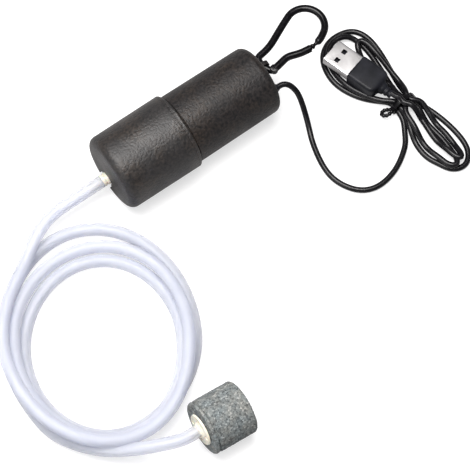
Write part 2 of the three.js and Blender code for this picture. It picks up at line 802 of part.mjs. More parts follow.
// A strap round the bunched runs, narrower at the top, with the ends twisted into a small loop.
function tieRing() {
  const { x, waistY, waistHalf, height } = hank;
  const section = (grow) => [
    [-waistHalf - grow, tie.lift - grow],
    [waistHalf + grow, tie.lift - grow],
    [waistHalf + grow, height + grow],
    [bunch.half + grow, bunch.top + grow],
    [-bunch.half - grow, bunch.top + grow],
    [-waistHalf - grow, height + grow],
  ];
  const outer = prism(section(gap + tie.thickness), -tie.half, tie.half);
  const inner = prism(section(gap), -tie.half - 1, tie.half + 1);
  const edge = x - waistHalf - gap - 0.3;
  const tail = bar([
    [edge, waistY, 3.4],
    [edge - 1.9, waistY - 0.5, 4.2],
    [edge - 3.7, waistY + 0.6, 3.0],
    [edge - 2.2, waistY + 1.8, 1.8],
    [edge, waistY + 0.8, 2.4],
  ], 0.6, 16, 8);
  return outer.subtract(inner).rotate([90, 0, 0]).translate([x, waistY, 0]).add(tail);
}

// The plug lies on the far lobe, and its strain relief bends down towards the tie.
const plug = {
  root: [124.16, -30.5, 7.0],
  yaw: 1.85,
  roll: 0.05,
  reliefLength: 6.0,
  reliefDrop: 0.1,
  gripLength: 14.5,
  gripHalf: 6.5,
  gripThick: 3.6,
  shellLength: 13.2,
  shellHalf: 6.0,
  shellThick: 2.25,
  shellWall: 0.35,
};

function roundedSection(halfWide, halfThick, corner) {
  const spots = [[1, 1, 0], [-1, 1, 1], [-1, -1, 2], [1, -1, 3]];
  return spots.flatMap(([sy, sz, quarter]) => arc(
    sy * (halfWide - corner),
    sz * (halfThick - corner),
    corner,
    corner,
    (quarter * Math.PI) / 2,
    ((quarter + 1) * Math.PI) / 2,
    4,
  ));
}

function addPlug() {
  const group = new THREE.Group();
  group.position.set(...plug.root);
  group.rotation.set(plug.roll, 0, plug.yaw, 'ZYX');
  cords.add(group);
  const gripEnd = plug.gripLength;
  const shellEndX = gripEnd + gap + plug.shellLength;
  const gripSection = roundedSection(plug.gripHalf, plug.gripThick, 1.3);
  addPiece('plug_grip', prismAlongX(gripSection, 0, gripEnd), blackRubber, group);
  const reliefStart = -3 * gap;     // room for the relief's front face to tilt
  const relief = turned([
    [-plug.reliefLength, 0],
    [-plug.reliefLength, 1.6],
    [reliefStart, 2.6],
    [reliefStart, 0],
  ], 20);
  addPiece('plug_relief', relief, blackRubber, group).rotation.y = -plug.reliefDrop;
  const outerSection = roundedSection(plug.shellHalf, plug.shellThick, 0.6);
  const shellOuter = prismAlongX(outerSection, gripEnd + gap, shellEndX);
  const inside = roundedSection(plug.shellHalf - plug.shellWall, plug.shellThick - plug.shellWall, 0.35);
  const windowHalf = 1.15;
  const windows = [-2.6, 2.6].map((y) => box(
    shellEndX - 6.4,
    shellEndX - 4.2,
    y - windowHalf,
    y + windowHalf,
    plug.shellThick - 1,
    plug.shellThick + 1,
  ));
  const metal = cut(shellOuter, [prismAlongX(inside, gripEnd + gap + 1.0, shellEndX + 1), ...windows]);
  addPiece('plug_shell', metal, nickel, group);
  const tongue = box(gripEnd + 1.6, shellEndX - 0.6, -5.4, 5.4, -1.65, 0.1);
  addPiece('plug_tongue', tongue, blackRubber, group);
}

function addCable() {
  addPiece('cable_feed', bar(cableRoute, cableRadius, 34, 8), blackGloss, cords);
  addPiece('cable_hank', cableHank(), blackGloss, cords);
  addPiece('cable_tie', tieRing(), blackGloss, cords);
}

addCasing();
addHead();
addMotor();
addHook();
addHose();
addStone();
addCable();
addPlug();

// The origin is under the middle of the pump and its hook, on the surface that they stand on.
model.updateMatrixWorld(true);
const extent = new THREE.Box3().setFromObject(pump, true);
const middle = extent.getCenter(new THREE.Vector3());
model.position.set(-middle.x, -middle.y, -extent.min.z);

export default model;
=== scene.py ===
"""The looks of the aquarium air pump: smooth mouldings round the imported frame, the hose, the
cable with its plug, the air stone and the spring hook, each with a procedural material.

Shapes are worked out in millimetres in the pump's own frame (x = 0 at the front face, y = 0 on
the pump's axis, z = 0 on the surface below it, +X towards the hook) and placed by row()."""

import json
import math

import bmesh
import bpy
import numpy as np
from mathutils import Matrix, Vector, noise


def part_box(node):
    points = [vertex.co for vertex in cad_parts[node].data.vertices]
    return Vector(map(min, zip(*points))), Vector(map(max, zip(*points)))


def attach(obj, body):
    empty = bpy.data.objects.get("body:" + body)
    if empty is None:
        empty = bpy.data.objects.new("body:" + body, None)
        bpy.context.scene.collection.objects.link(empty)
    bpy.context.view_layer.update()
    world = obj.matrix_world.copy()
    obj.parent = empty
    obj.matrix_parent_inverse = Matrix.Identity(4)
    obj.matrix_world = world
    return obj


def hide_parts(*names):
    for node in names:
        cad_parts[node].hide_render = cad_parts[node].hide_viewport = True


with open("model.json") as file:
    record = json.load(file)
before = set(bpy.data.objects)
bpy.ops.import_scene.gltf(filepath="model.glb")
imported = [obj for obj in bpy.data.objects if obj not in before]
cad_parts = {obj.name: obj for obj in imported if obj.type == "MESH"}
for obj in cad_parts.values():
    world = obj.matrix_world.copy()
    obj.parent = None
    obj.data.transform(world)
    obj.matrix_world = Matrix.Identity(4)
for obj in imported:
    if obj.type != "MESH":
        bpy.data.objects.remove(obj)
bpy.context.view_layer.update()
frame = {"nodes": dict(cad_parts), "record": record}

# ---------------------------------------------------------------- frame and main sizes
MM = 0.001
cap_low, cap_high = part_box("front_cap")
ORIGIN = Vector((cap_low.x, (cap_low.y + cap_high.y) / 2, 0.0))

CAP_RADIUS = (cap_high.y - cap_low.y) / 2 / MM
CAP_LENGTH = (cap_high.x - cap_low.x) / MM
AXIS = CAP_RADIUS                   # height of the pump's axis
HEAD_ROLL = 0.33                    # the outlet and its slot are turned this far round the axis
SHELL_FRONT, SHELL_REAR = 16.4, 16.1
SHELL_END = 81.0
NOZZLE_OFFSET = 8.2                 # outlet below the axis
NOZZLE_RADIUS = 2.75
NOZZLE_REACH = 2.6
CABLE_EXIT = (84.0, -8.0)
HOOK_PIVOT = (84.4, 3.9)
HOOK_YAW = 0.18
HOSE = 5.6                          # outside diameters
HOSE_BORE = 3.8
CABLE = 2.6


def row(point):
    """A point in millimetres in the pump's frame, as metres in the row frame."""
    return Vector(point) * MM + ORIGIN


# ---------------------------------------------------------------- camera, floor and light
CAMERA_PLACE = (-185.8, -352.7, 927.2)
CAMERA_AIM = (32.18, -48.0, 0.0)
CAMERA_LENS = 176.5
WORLD_STRENGTH = 0.14
FLOOR_HALF = 3.0                    # in metres
FLOOR_GLOW = 0.62                   # what the floor adds to its own light when the camera looks at it


def aim(obj, target):
    obj.rotation_mode = "QUATERNION"
    obj.rotation_quaternion = (target - obj.location).to_track_quat("-Z", "Y")


def add_camera():
    data = bpy.data.cameras.new("camera")
    data.sensor_width = 36.0
    data.lens = CAMERA_LENS
    camera = bpy.data.objects.new("camera", data)
    bpy.context.scene.collection.objects.link(camera)
    camera.location = row(CAMERA_PLACE)
    aim(camera, row(CAMERA_AIM))
    bpy.context.scene.camera = camera


def add_softbox(name, place, target, size, power, colour=(1, 1, 1)):
    data = bpy.data.lights.new(name, "AREA")
    data.shape = "RECTANGLE"
    data.size, data.size_y = size
    data.energy = power
    data.color = colour
    light = bpy.data.objects.new(name, data)
    bpy.context.scene.collection.objects.link(light)
    light.location = row(place)
    aim(light, row(target))


def add_studio():
    world = bpy.data.worlds.new("studio")
    world.use_nodes = True
    background = world.node_tree.nodes["Background"]
    background.inputs["Color"].default_value = (0.98, 0.99, 1.0, 1)
    background.inputs["Strength"].default_value = WORLD_STRENGTH
    bpy.context.scene.world = world
    bpy.context.scene.view_settings.view_transform = "Standard"
    add_softbox("overhead", (-30, 80, 950), (40, -20, 0), (0.62, 0.66), 17.0, (1.0, 0.985, 0.97))
    add_softbox("left_fill", (-700, -100, 500), (0, -40, 0), (0.8, 0.6), 3.0)
    add_floor()


def add_floor():
    """White paper that stays white to the camera and sends only a soft grey up at the part."""
    half = FLOOR_HALF
    corners = [(-half, -half, 0), (half, -half, 0), (half, half, 0), (-half, half, 0)]
    mesh = bpy.data.meshes.new("floor")
    mesh.from_pydata(corners, [], [(0, 1, 2, 3)])
    floor = bpy.data.objects.new("floor", mesh)
    bpy.context.scene.collection.objects.link(floor)
    paper = bpy.data.materials.new("floor_paper")
    paper.use_nodes = True
    tree = paper.node_tree
    paint = tree.nodes["Principled BSDF"]
    paint.inputs["Base Color"].default_value = (0.45, 0.45, 0.455, 1)
    paint.inputs["Roughness"].default_value = 0.9
    paint.inputs["Specular IOR Level"].default_value = 0.1
    glow = tree.nodes.new("ShaderNodeEmission")
    glow.inputs["Color"].default_value = (1, 1, 1, 1)
    seen = tree.nodes.new("ShaderNodeMath")
    seen.operation = "MULTIPLY"
    seen.inputs[1].default_value = FLOOR_GLOW
    tree.links.new(tree.nodes.new("ShaderNodeLightPath").outputs["Is Camera Ray"], seen.inputs[0])
    tree.links.new(seen.outputs[0], glow.inputs["Strength"])
    both = tree.nodes.new("ShaderNodeAddShader")
    tree.links.new(paint.outputs[0], both.inputs[0])
    tree.links.new(glow.outputs[0], both.inputs[1])
    tree.links.new(both.outputs[0], tree.nodes["Material Output"].inputs["Surface"])
    mesh.materials.append(paper)


# ---------------------------------------------------------------- materials
class Shade:
    """A Principled material under construction: short calls add the texture nodes."""

    def __init__(self, name, roughness, metallic=0.0, **sockets):
        self.material = bpy.data.materials.new(name)
        self.material.use_nodes = True
        self.tree = self.material.node_tree
        self.paint = self.tree.nodes["Principled BSDF"]
        self.paint.inputs["Roughness"].default_value = roughness
        self.paint.inputs["Metallic"].default_value = metallic
        for socket, value in sockets.items():
            self.paint.inputs[socket.replace("_", " ")].default_value = value
        self.place = self.tree.nodes.new("ShaderNodeTexCoord").outputs["Object"]

    def node(self, kind, inputs=None, **settings):
        made = self.tree.nodes.new("ShaderNode" + kind)
        for key, value in settings.items():
            setattr(made, key, value)
        for key, value in (inputs or {}).items():
            if isinstance(value, bpy.types.NodeSocket):
                self.tree.links.new(value, made.inputs[key])
            else:
                made.inputs[key].default_value = value
        return made

    def noise(self, grain_mm, detail=2.0, roughness=0.5, stretch=(1, 1, 1)):
        """Noise whose features are about grain_mm across; stretch lengthens them along an axis."""
        scaled = self.node("Mapping", {"Vector": self.place, "Scale": tuple(1 / s for s in stretch)})
        made = self.node("TexNoise", {
            "Vector": scaled.outputs[0],
            "Scale": 1 / (grain_mm * MM),
            "Detail": detail,
            "Roughness": roughness,
        })
        return made.outputs["Fac"]

    def cells(self, grain_mm, output="Distance"):
        made = self.node("TexVoronoi", {"Vector": self.place, "Scale": 1 / (grain_mm * MM)})
        return made.outputs[output]

    def ramp(self, value, *stops):
        """A colour ramp. Each stop is (position, colour), and a colour may be one grey value."""
        made = self.node("ValToRGB", {"Fac": value})
        elements = made.color_ramp.elements
        while len(elements) < len(stops):
            elements.new(0.5)
        for element, (position, colour) in zip(elements, stops):
            element.position = position
            rgb = (colour,) * 3 if isinstance(colour, (int, float)) else colour
            element.color = (*rgb, 1)
        return made.outputs["Color"]

    def mix(self, factor, low, high, blend="MIX"):
        made = self.node("MixRGB", {"Fac": factor, "Color1": low, "Color2": high}, blend_type=blend)
        return made.outputs["Color"]

    def link(self, value, socket):
        self.tree.links.new(value, self.paint.inputs[socket])

    def bump(self, height, depth_mm, strength):
        inputs = {"Height": height, "Distance": depth_mm * MM, "Strength": strength}
        return self.node("Bump", inputs).outputs["Normal"]


def casing_black(name, shine):
    """Fine-grained moulded plastic, a little brown, and smoother in patches."""
    m = Shade(name, 0.5, Specular_IOR_Level=shine)
    grain = m.noise(1.1, detail=3.0, roughness=0.6)
    patches = m.noise(11.0, detail=3.0)
    base = m.ramp(grain, (0.34, (0.004, 0.004, 0.0045)), (0.64, (0.024, 0.020, 0.018)))
    worn = m.ramp(patches, (0.42, (0.85, 0.85, 0.92)), (0.66, (1.35, 1.2, 1.08)))
    m.link(m.mix(1.0, base, worn, "MULTIPLY"), "Base Color")
    rough = m.mix(0.6, m.ramp(grain, (0.3, 0.38), (0.7, 0.60)), m.ramp(patches, (0.35, 0.56), (0.7, 0.38)))
    m.link(rough, "Roughness")
    m.link(m.bump(grain, 0.30, 1.0), "Normal")
    return m.material


def hook_black():
    """Glossy black coat on steel wire, with small dimples in the coat."""
    m = Shade("hook_black", 0.2, Specular_IOR_Level=0.22)
    tone = m.noise(2.5)
    m.link(m.ramp(tone, (0.35, (0.002, 0.002, 0.0025)), (0.7, (0.006, 0.0055, 0.007))), "Base Color")
    m.link(m.ramp(m.noise(0.8), (0.3, 0.16), (0.75, 0.30)), "Roughness")
    m.link(m.bump(m.noise(1.6, detail=1.0), 0.02, 0.5), "Normal")
    return m.material


def cable_black():
    """Glossy PVC sheath: deep black, with faint drag marks along it."""
    m = Shade("cable_black", 0.24, Specular_IOR_Level=0.25)
    tone = m.noise(3.0, detail=3.0)
    m.link(m.ramp(tone, (0.35, (0.003, 0.003, 0.004)), (0.7, (0.009, 0.0085, 0.010))), "Base Color")
    m.link(m.ramp(m.noise(0.6), (0.3, 0.18), (0.7, 0.34)), "Roughness")
    m.link(m.bump(m.noise(0.8, detail=2.0), 0.015, 0.5), "Normal")
    return m.material


def grip_black():
    """Satin overmould with a fine spark-eroded grain."""
    m = Shade("grip_black", 0.42, Specular_IOR_Level=0.2)
    grain = m.noise(0.35, detail=2.0)
    tone = m.noise(5.0, detail=2.0)
    base = m.ramp(tone, (0.35, (0.005, 0.0055, 0.008)), (0.7, (0.012, 0.0125, 0.017)))
    m.link(base, "Base Color")
    m.link(m.ramp(grain, (0.3, 0.36), (0.7, 0.52)), "Roughness")
    m.link(m.bump(grain, 0.03, 0.5), "Normal")
    return m.material


def ivory():
    """Semi-gloss ivory moulding with faint flow marks."""
    m = Shade("ivory", 0.34, Subsurface_Weight=0.15, Subsurface_Scale=0.001)
    tone = m.noise(3.0, detail=3.0)
    m.link(m.ramp(tone, (0.3, (0.70, 0.66, 0.54)), (0.7, (0.84, 0.80, 0.69))), "Base Color")
    m.link(m.ramp(m.noise(0.9), (0.3, 0.28), (0.7, 0.42)), "Roughness")
    m.link(m.bump(m.noise(0.5), 0.02, 0.4), "Normal")
    return m.material


def hose_clear():
    """Milky soft PVC, a little lavender, with light passing far under its surface."""
    m = Shade(
        "hose_clear", 0.34,
        Specular_IOR_Level=0.35,
        Subsurface_Weight=0.8,
        Subsurface_Radius=(1.0, 1.0, 1.1),
        Subsurface_Scale=0.008,
        Alpha=0.47,
    )
    cloud = m.noise(9.0, detail=3.0)
    m.link(m.ramp(cloud, (0.3, (0.66, 0.695, 0.85)), (0.7, (0.70, 0.73, 0.875))), "Base Color")
    m.link(m.ramp(m.noise(3.0), (0.3, 0.28), (0.7, 0.40)), "Roughness")
    m.link(m.bump(m.noise(4.0, detail=1.0), 0.02, 0.3), "Normal")
    return m.material


def mineral():
    """Sintered grains, mid grey with small light and dark specks, and painted shade in its open pores."""
    m = Shade("mineral", 0.93, Specular_IOR_Level=0.2)
    grains = m.cells(0.7, "Color")
    key = m.node("SeparateColor", {"Color": grains}).outputs[0]
    base = m.ramp(
        key,
        (0.0, (0.085, 0.09, 0.09)),
        (0.35, (0.17, 0.185, 0.183)),
        (0.85, (0.215, 0.23, 0.226)),
        (1.0, (0.36, 0.37, 0.36)),
    )
    stain = m.ramp(m.noise(5.0, detail=3.0), (0.35, (0.92, 0.96, 1.0)), (0.65, (1.05, 1.0, 0.97)))
    # painted shade: dark spots in the colour that stand for the shade inside open pores
    pores = m.ramp(m.noise(0.55, detail=3.0, roughness=0.7), (0.34, 0.45), (0.46, 1.0))
    m.link(m.mix(1.0, m.mix(1.0, base, stain, "MULTIPLY"), pores, "MULTIPLY"), "Base Color")
    m.link(m.bump(m.cells(0.55), 0.15, 0.7), "Normal")
    return m.material


def rubber():
    m = Shade("rubber", 0.75)
    m.link(m.ramp(m.noise(1.2), (0.3, (0.022, 0.022, 0.024)), (0.7, (0.040, 0.040, 0.042))), "Base Color")
    m.link(m.bump(m.noise(0.3), 0.03, 0.5), "Normal")
    return m.material


def foam():
    m = Shade("foam", 0.95, Specular_IOR_Level=0.1)
    pore_depth_and_shade = m.cells(0.9)
    # painted shade: the colour is darkest at each cell's middle, where the bump makes the pore's hollow
    m.link(m.ramp(pore_depth_and_shade, (0.1, (0.03, 0.03, 0.033)), (0.6, (0.13, 0.13, 0.14))), "Base Color")
    m.link(m.bump(pore_depth_and_shade, 0.3, 0.9), "Normal")
    return m.material


def moulded(name, dark, light, roughness):
    """A plain moulded plastic between two tones."""
    m = Shade(name, roughness)
    m.link(m.ramp(m.noise(4.0, detail=3.0), (0.3, dark), (0.7, light)), "Base Color")
    m.link(m.ramp(m.noise(0.7), (0.3, roughness - 0.08), (0.7, roughness + 0.08)), "Roughness")
    m.link(m.bump(m.noise(0.4), 0.02, 0.4), "Normal")
    return m.material


def metal(name, dark, light, roughness, streak=(30.0, 1.0, 1.0), depth_mm=0.02):
    """A metal with fine drawing or turning marks, long along streak's larger axis."""
    m = Shade(name, roughness, metallic=1.0)
    lines = m.noise(0.25, detail=3.0, stretch=streak)
    m.link(m.ramp(m.noise(3.0, detail=2.0), (0.3, dark), (0.7, light)), "Base Color")
    m.link(m.ramp(lines, (0.3, max(roughness - 0.08, 0.04)), (0.7, roughness + 0.1)), "Roughness")
    m.link(m.bump(lines, depth_mm, 0.35), "Normal")
    return m.material


MATERIALS = {
    "casing_black": casing_black("casing_black", 0.32),
    "hook_black": hook_black(),
    "cable_black": cable_black(),
    "grip_black": grip_black(),
    "ivory": ivory(),
    "hose_clear": hose_clear(),
    "mineral": mineral(),
    "rubber": rubber(),
    "foam": foam(),
    "grey_plastic": moulded("grey_plastic", (0.20, 0.21, 0.22), (0.29, 0.30, 0.31), 0.45),
    "white_plastic": moulded("white_plastic", (0.66, 0.66, 0.62), (0.78, 0.78, 0.74), 0.4),
    "steel": metal("steel", (0.50, 0.51, 0.52), (0.62, 0.63, 0.64), 0.28),
    "zinc": metal("zinc", (0.38, 0.39, 0.41), (0.50, 0.51, 0.52), 0.38, (3.0, 3.0, 1.0)),
    "brass": metal("brass", (0.55, 0.37, 0.11), (0.68, 0.49, 0.18), 0.30),
    "copper": metal("copper", (0.42, 0.15, 0.06), (0.58, 0.25, 0.11), 0.34, (40.0, 1.0, 1.0), 0.06),
    "magnet": moulded("magnet", (0.035, 0.035, 0.038), (0.07, 0.07, 0.075), 0.6),
    "carbon": moulded("carbon", (0.012, 0.012, 0.012), (0.028, 0.028, 0.028), 0.55),
    "nickel": metal("nickel", (0.53, 0.52, 0.525), (0.58, 0.57, 0.57), 0.38, (1.0, 1.0, 1.0), 0.001),
    "red_lead": moulded("red_lead", (0.28, 0.014, 0.012), (0.42, 0.028, 0.024), 0.35),
    "black_lead": moulded("black_lead", (0.012, 0.012, 0.013), (0.024, 0.024, 0.026), 0.35),
}


# The cap is handled more than the shell, so it shines more.
CAP_BLACK = casing_black("casing_black_handled", 0.62)


# ---------------------------------------------------------------- mesh tools
SLIGHT_BEND = 0.15                  # in radians
POINT = 1e-6                        # a ring smaller than this is a single point
SPLINE_PARTS = 40


def arc(cx, cy, rx, ry, start, end, steps):
    """Points on the arc of an ellipse, angles in degrees."""
    angles = np.radians(np.linspace(start, end, steps + 1))
    return [(cx + rx * math.cos(a), cy + ry * math.sin(a)) for a in angles]


def fillet(outline, radius, steps=4, closed=False):
    """The outline with each corner rounded, except the two ends of an open one and slight bends."""
    done = []
    count = len(outline)
    for i, corner in enumerate(outline):
        here = Vector(corner)
        if not closed and i in (0, count - 1):
            done.append(tuple(here))
            continue
        before = Vector(outline[i - 1]) - here
        after = Vector(outline[(i + 1) % count]) - here
        turn = math.pi - before.angle(after)
        if turn < SLIGHT_BEND:
            done.append(tuple(here))
            continue
        back = min(radius * math.tan(turn / 2), 0.45 * before.length, 0.45 * after.length)
        start = here + before.normalized() * back
        end = here + after.normalized() * back
        for k in range(steps + 1):
            t = k / steps
            done.append(tuple(start * (1 - t) ** 2 + here * 2 * t * (1 - t) + end * t ** 2))
    return done


def rounded_rect(half_wide, half_thick, radius, steps=5):
    w, t = half_wide, half_thick
    corners = [(-w, -t), (w, -t), (w, t), (-w, t)]
    return fillet(corners, radius, steps, closed=True)


def loft(rings, closed_along=False):
    """(vertices, faces) of a skin through rings of equally many points. A ring of one point is a tip,
    and an open end is closed with one flat face."""
    vertices = []
    starts = []
    for ring in rings:
        starts.append(len(vertices))
        vertices += [tuple(p) for p in ring]
    faces = []
    last = len(rings) if closed_along else len(rings) - 1
    for i in range(last):
        a, b = rings[i], rings[(i + 1) % len(rings)]
        sa, sb = starts[i], starts[(i + 1) % len(rings)]
        count = max(len(a), len(b))
        for k in range(count):
            n = (k + 1) % count
            if len(a) == 1:
                faces.append((sa, sb + n, sb + k))
            elif len(b) == 1:
                faces.append((sa + k, sa + n, sb))
            else:
                faces.append((sa + k, sa + n, sb + n, sb + k))
    if not closed_along:
        if len(rings[0]) > 1:
            faces.append(tuple(range(starts[0], starts[0] + len(rings[0])))[::-1])
        if len(rings[-1]) > 1:
            faces.append(tuple(range(starts[-1], starts[-1] + len(rings[-1]))))
    return vertices, faces


def turned(profile, sides=96, closed=False):
    """A solid of revolution about X from (x, radius) points."""
    rings = []
    for x, radius in profile:
        if radius < POINT:
            rings.append([(x, 0.0, 0.0)])
            continue
        angles = [2 * math.pi * k / sides for k in range(sides)]
        rings.append([(x, radius * math.cos(a), radius * math.sin(a)) for a in angles])
    return loft(rings, closed_along=closed)


def prism(outline, x0, x1):
    """A solid whose (y, z) outline is carried along X."""
    return loft([[(x0, y, z) for y, z in outline], [(x1, y, z) for y, z in outline]])


def spline(points, step):
    """Points about step apart along the smoothest curve through the given points."""
    p = np.array(points, float)
    chord = np.sqrt(np.linalg.norm(np.diff(p, axis=0), axis=1))
    t = np.concatenate([[0], np.cumsum(chord)])
    n = len(p)
    system, right = np.zeros((n, n)), np.zeros((n, p.shape[1]))
    system[0, 0] = system[-1, -1] = 1
    for i in range(1, n - 1):
        a, b = t[i] - t[i - 1], t[i + 1] - t[i]
        system[i, i - 1:i + 2] = a, 2 * (a + b), b
        right[i] = 6 * ((p[i + 1] - p[i]) / b - (p[i] - p[i - 1]) / a)
    bend = np.linalg.solve(system, right)
    fine = []
    for i in range(n - 1):
        h = t[i + 1] - t[i]
        for u in np.linspace(0, h, SPLINE_PARTS, endpoint=False):
            v = h - u
            fine.append(
                (bend[i] * v ** 3 + bend[i + 1] * u ** 3) / (6 * h)
                + (p[i] / h - bend[i] * h / 6) * v
                + (p[i + 1] / h - bend[i + 1] * h / 6) * u
            )
    fine.append(p[-1])
    return evenly(np.array(fine), step)


def evenly(line, step):
    """The same line with points at even distances, about step apart."""
    along = np.concatenate([[0], np.cumsum(np.linalg.norm(np.diff(line, axis=0), axis=1))])
    at = np.linspace(0, along[-1], max(3, round(along[-1] / step) + 1))
    return np.stack([np.interp(at, along, line[:, k]) for k in range(line.shape[1])], axis=1)


def frames_along(path):
    """Two unit vectors across the path at each point, turning as little as possible."""
    tangent = np.gradient(path, axis=0)
    tangent /= np.linalg.norm(tangent, axis=1)[:, None]
    side = np.cross(tangent[0], (0.0, 0.0, 1.0))
    if np.linalg.norm(side) < 0.1:
        side = np.cross(tangent[0], (0.0, 1.0, 0.0))
    sides = []
    for direction in tangent:
        side = side - direction * np.dot(side, direction)
        side = side / np.linalg.norm(side)
        sides.append(side)
    sides = np.array(sides)
    return sides, np.cross(tangent, sides)


def swept(path, radius, sides=24, bore=None):
    """A round bar along the path. radius is one number or one for each point; a bore makes a tube."""
    radii = np.broadcast_to(radius, len(path))
    across, up = frames_along(path)
    angles = np.linspace(0, 2 * math.pi, sides, endpoint=False)

    def ring(i, r):
        if r < POINT:
            return [path[i]]
        return [path[i] + r * (math.cos(a) * across[i] + math.sin(a) * up[i]) for a in angles]

    rings = [ring(i, radii[i]) for i in range(len(path))]
    if bore is None:
        return loft(rings)
    inner = [ring(i, bore) for i in range(len(path))]
    return loft(rings + inner[::-1], closed_along=True)


def placed(shape, matrix):
    """The shape after it is moved and turned."""
    vertices, faces = shape
    return [tuple(matrix @ Vector(v)) for v in vertices], faces


def raw_object(name, shape):
    """A Blender object from a shape in millimetres, with its faces turned out."""
    vertices, faces = shape
    mesh = bpy.data.meshes.new(name)
    mesh.from_pydata([tuple(row(v)) for v in vertices], [], faces)
    bm = bmesh.new()
    bm.from_mesh(mesh)
    bmesh.ops.recalc_face_normals(bm, faces=bm.faces)
    bm.to_mesh(mesh)
    bm.free()
    obj = bpy.data.objects.new(name, mesh)
    bpy.context.scene.collection.objects.link(obj)
    return obj


def combined(obj, others, operation):
    """obj after each of the other shapes is joined to it or cut from it."""
    for i, shape in enumerate(others):
        tool = raw_object(f"tool_{i}", shape)
        step = obj.modifiers.new("combine", "BOOLEAN")
        step.object = tool
        step.operation = operation
        step.solver = "EXACT"
        bake(obj)
        bpy.data.meshes.remove(tool.data)


def bake(obj):
    """Turns the object's modifiers into its mesh."""
    baked = bpy.data.meshes.new_from_object(obj.evaluated_get(bpy.context.evaluated_depsgraph_get()))
    obj.modifiers.clear()
    old = obj.data
    obj.data = baked
    bpy.data.meshes.remove(old)


def soften(obj, width_mm, angle):
    """Small rounded edges where two faces meet at more than the angle."""
    edge = obj.modifiers.new("edges", "BEVEL")
    edge.width = width_mm * MM
    edge.segments = 2
    edge.limit_method = "ANGLE"
    edge.angle_limit = math.radians(angle)
    edge.use_clamp_overlap = True
    bake(obj)


def dress(obj, slot, body, replaces=(), smooth_below=35, material=None):
    """Gives a finished piece its material and its body, and hides the CAD nodes that it stands for."""
    mesh = obj.data
    mesh.materials.clear()
    mesh.materials.append(material or MATERIALS[slot])
    mesh.polygons.foreach_set("use_smooth", [True] * len(mesh.polygons))
    mesh.set_sharp_from_angle(angle=math.radians(smooth_below))
    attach(obj, body)
    if replaces:
        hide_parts(*replaces)
    return obj


# ---------------------------------------------------------------- laying a cord
def settled(plan, diameter, held=None, floor=0.0, reach=9.0):
    """Heights of a cord that is laid point by point along the plan: on the floor, or on what is
    already there. reach is how far before and after a crossing it starts to rise, and held is a
    least height for each point."""
    count = len(plan)
    step = np.linalg.norm(np.diff(plan, axis=0), axis=1).mean()
    skip = int(3 * diameter / step)
    least = np.full(count, floor + diameter / 2)
    if held is not None:
        least = np.maximum(least, held)
    heights = np.zeros(count)
    for i in range(count):
        heights[i] = least[i]
        if i > skip:
            away = np.linalg.norm(plan[: i - skip] - plan[i], axis=1)
            below = away < diameter
            if below.any():
                rest = heights[: i - skip][below] + np.sqrt(diameter ** 2 - away[below] ** 2)
                heights[i] = max(heights[i], rest.max())
    return np.maximum(eased(heights, reach / step), least)


def eased(values, width):
    """The values under a smooth cover that never goes below them."""
    half = max(1, int(width))
    padded = np.pad(values, half, mode="edge")
    highest = np.array([padded[i:i + 2 * half + 1].max() for i in range(len(values))])
    padded = np.pad(highest, half, mode="edge")
    weights = np.hanning(2 * half + 3)[1:-1]
    covered = [np.dot(padded[i:i + 2 * half + 1], weights) for i in range(len(values))]
    return np.array(covered) / weights.sum()


# ---------------------------------------------------------------- air hose
NOZZLE = (NOZZLE_OFFSET * math.sin(HEAD_ROLL), AXIS - NOZZLE_OFFSET * math.cos(HEAD_ROLL))   # y and z

# From the outlet over the coil, x, y and the least height.
FEED = [
    (-NOZZLE_REACH - 0.1, NOZZLE[0], NOZZLE[1]),
    (-9.0, NOZZLE[0], NOZZLE[1]),
    (-18.2, 2.6, 9.7),
    (-29.0, 2.1, 9.2),
    (-40.1, -2.1, 8.8),
    (-51.1, -9.6, 7.0),
    (-62.3, -17.0, 0.0),
    (-71.6, -25.4, 0.0),
]
# From the coil to the air stone.
STONE_LEAD = [
    (-83.1, -74.0, 0.0),
    (-79.8, -83.3, 0.0),
    (-74.0, -92.5, 3.4),
    (-67.6, -99.6, 5.0),
    (-59.9, -105.6, 7.6),
    (-52.7, -109.8, 10.6),
    (-46.1, -112.8, 13.3),
    (-41.6, -114.3, 14.9),
    (-38.2, -114.8, 15.0),
    (-34.4, -115.0, 14.7),
]
# Each lane is an ellipse. turn is the direction of its long axis, in degrees from +X.
OUTER_LANE = {"centre": (-41.9, -53.4), "axes": (49.4, 40.2), "turn": 66.0}
INNER_LANE = {"centre": (-43.7, -58.4), "axes": (39.6, 33.6), "turn": 59.4}
TOP_TURN_SHIFT = 0.8                # how far outside the outer turn the one on top of it lies
TURN_GAP = 0.15                     # room between turns that lie side by side


def on_lane(lane, angle):
    """The point of the lane in that direction, the angle in degrees from +X."""
    t, turn = math.radians(angle - lane["turn"]), math.radians(lane["turn"])
    along, across = lane["axes"][0] * math.cos(t), lane["axes"][1] * math.sin(t)
    x = lane["centre"][0] + along * math.cos(turn) - across * math.sin(turn)
    y = lane["centre"][1] + along * math.sin(turn) + across * math.cos(turn)
    return np.array([x, y])


def outer(angle):
    return on_lane(OUTER_LANE, angle)


def inner(angle):
    return on_lane(INNER_LANE, angle)


def middle(angle):
    """In the valley between the inner and the outer turn, or beside the inner one where they part."""
    apart = outer(angle) - inner(angle)
    distance = np.linalg.norm(apart)
    return inner(angle) + apart * min(0.5, (HOSE + TURN_GAP) / distance)


def over_outer(angle):
    """On top of the outer turn, and a little outside it."""
    outward = outer(angle) - np.array(OUTER_LANE["centre"])
    return outer(angle) + outward / np.linalg.norm(outward) * TOP_TURN_SHIFT


# Angles at which the coil goes over from one lane to the next, in degrees since the first turn's +X.
LANE_CHANGES = [
    (262, 325, over_outer, middle),
    (622, 690, middle, inner),
    (985, 1050, inner, outer),
]
COIL_START, COIL_STOP, COIL_STEP = 156, 1270, 12


def coil_point(angle):
    lane = over_outer
    for start, stop, before, after in LANE_CHANGES:
        if angle >= stop:
            lane = after
        elif angle > start:
            t = (angle - start) / (stop - start)
            t = t * t * (3 - 2 * t)
            return before(angle) * (1 - t) + after(angle) * t
    return lane(angle)


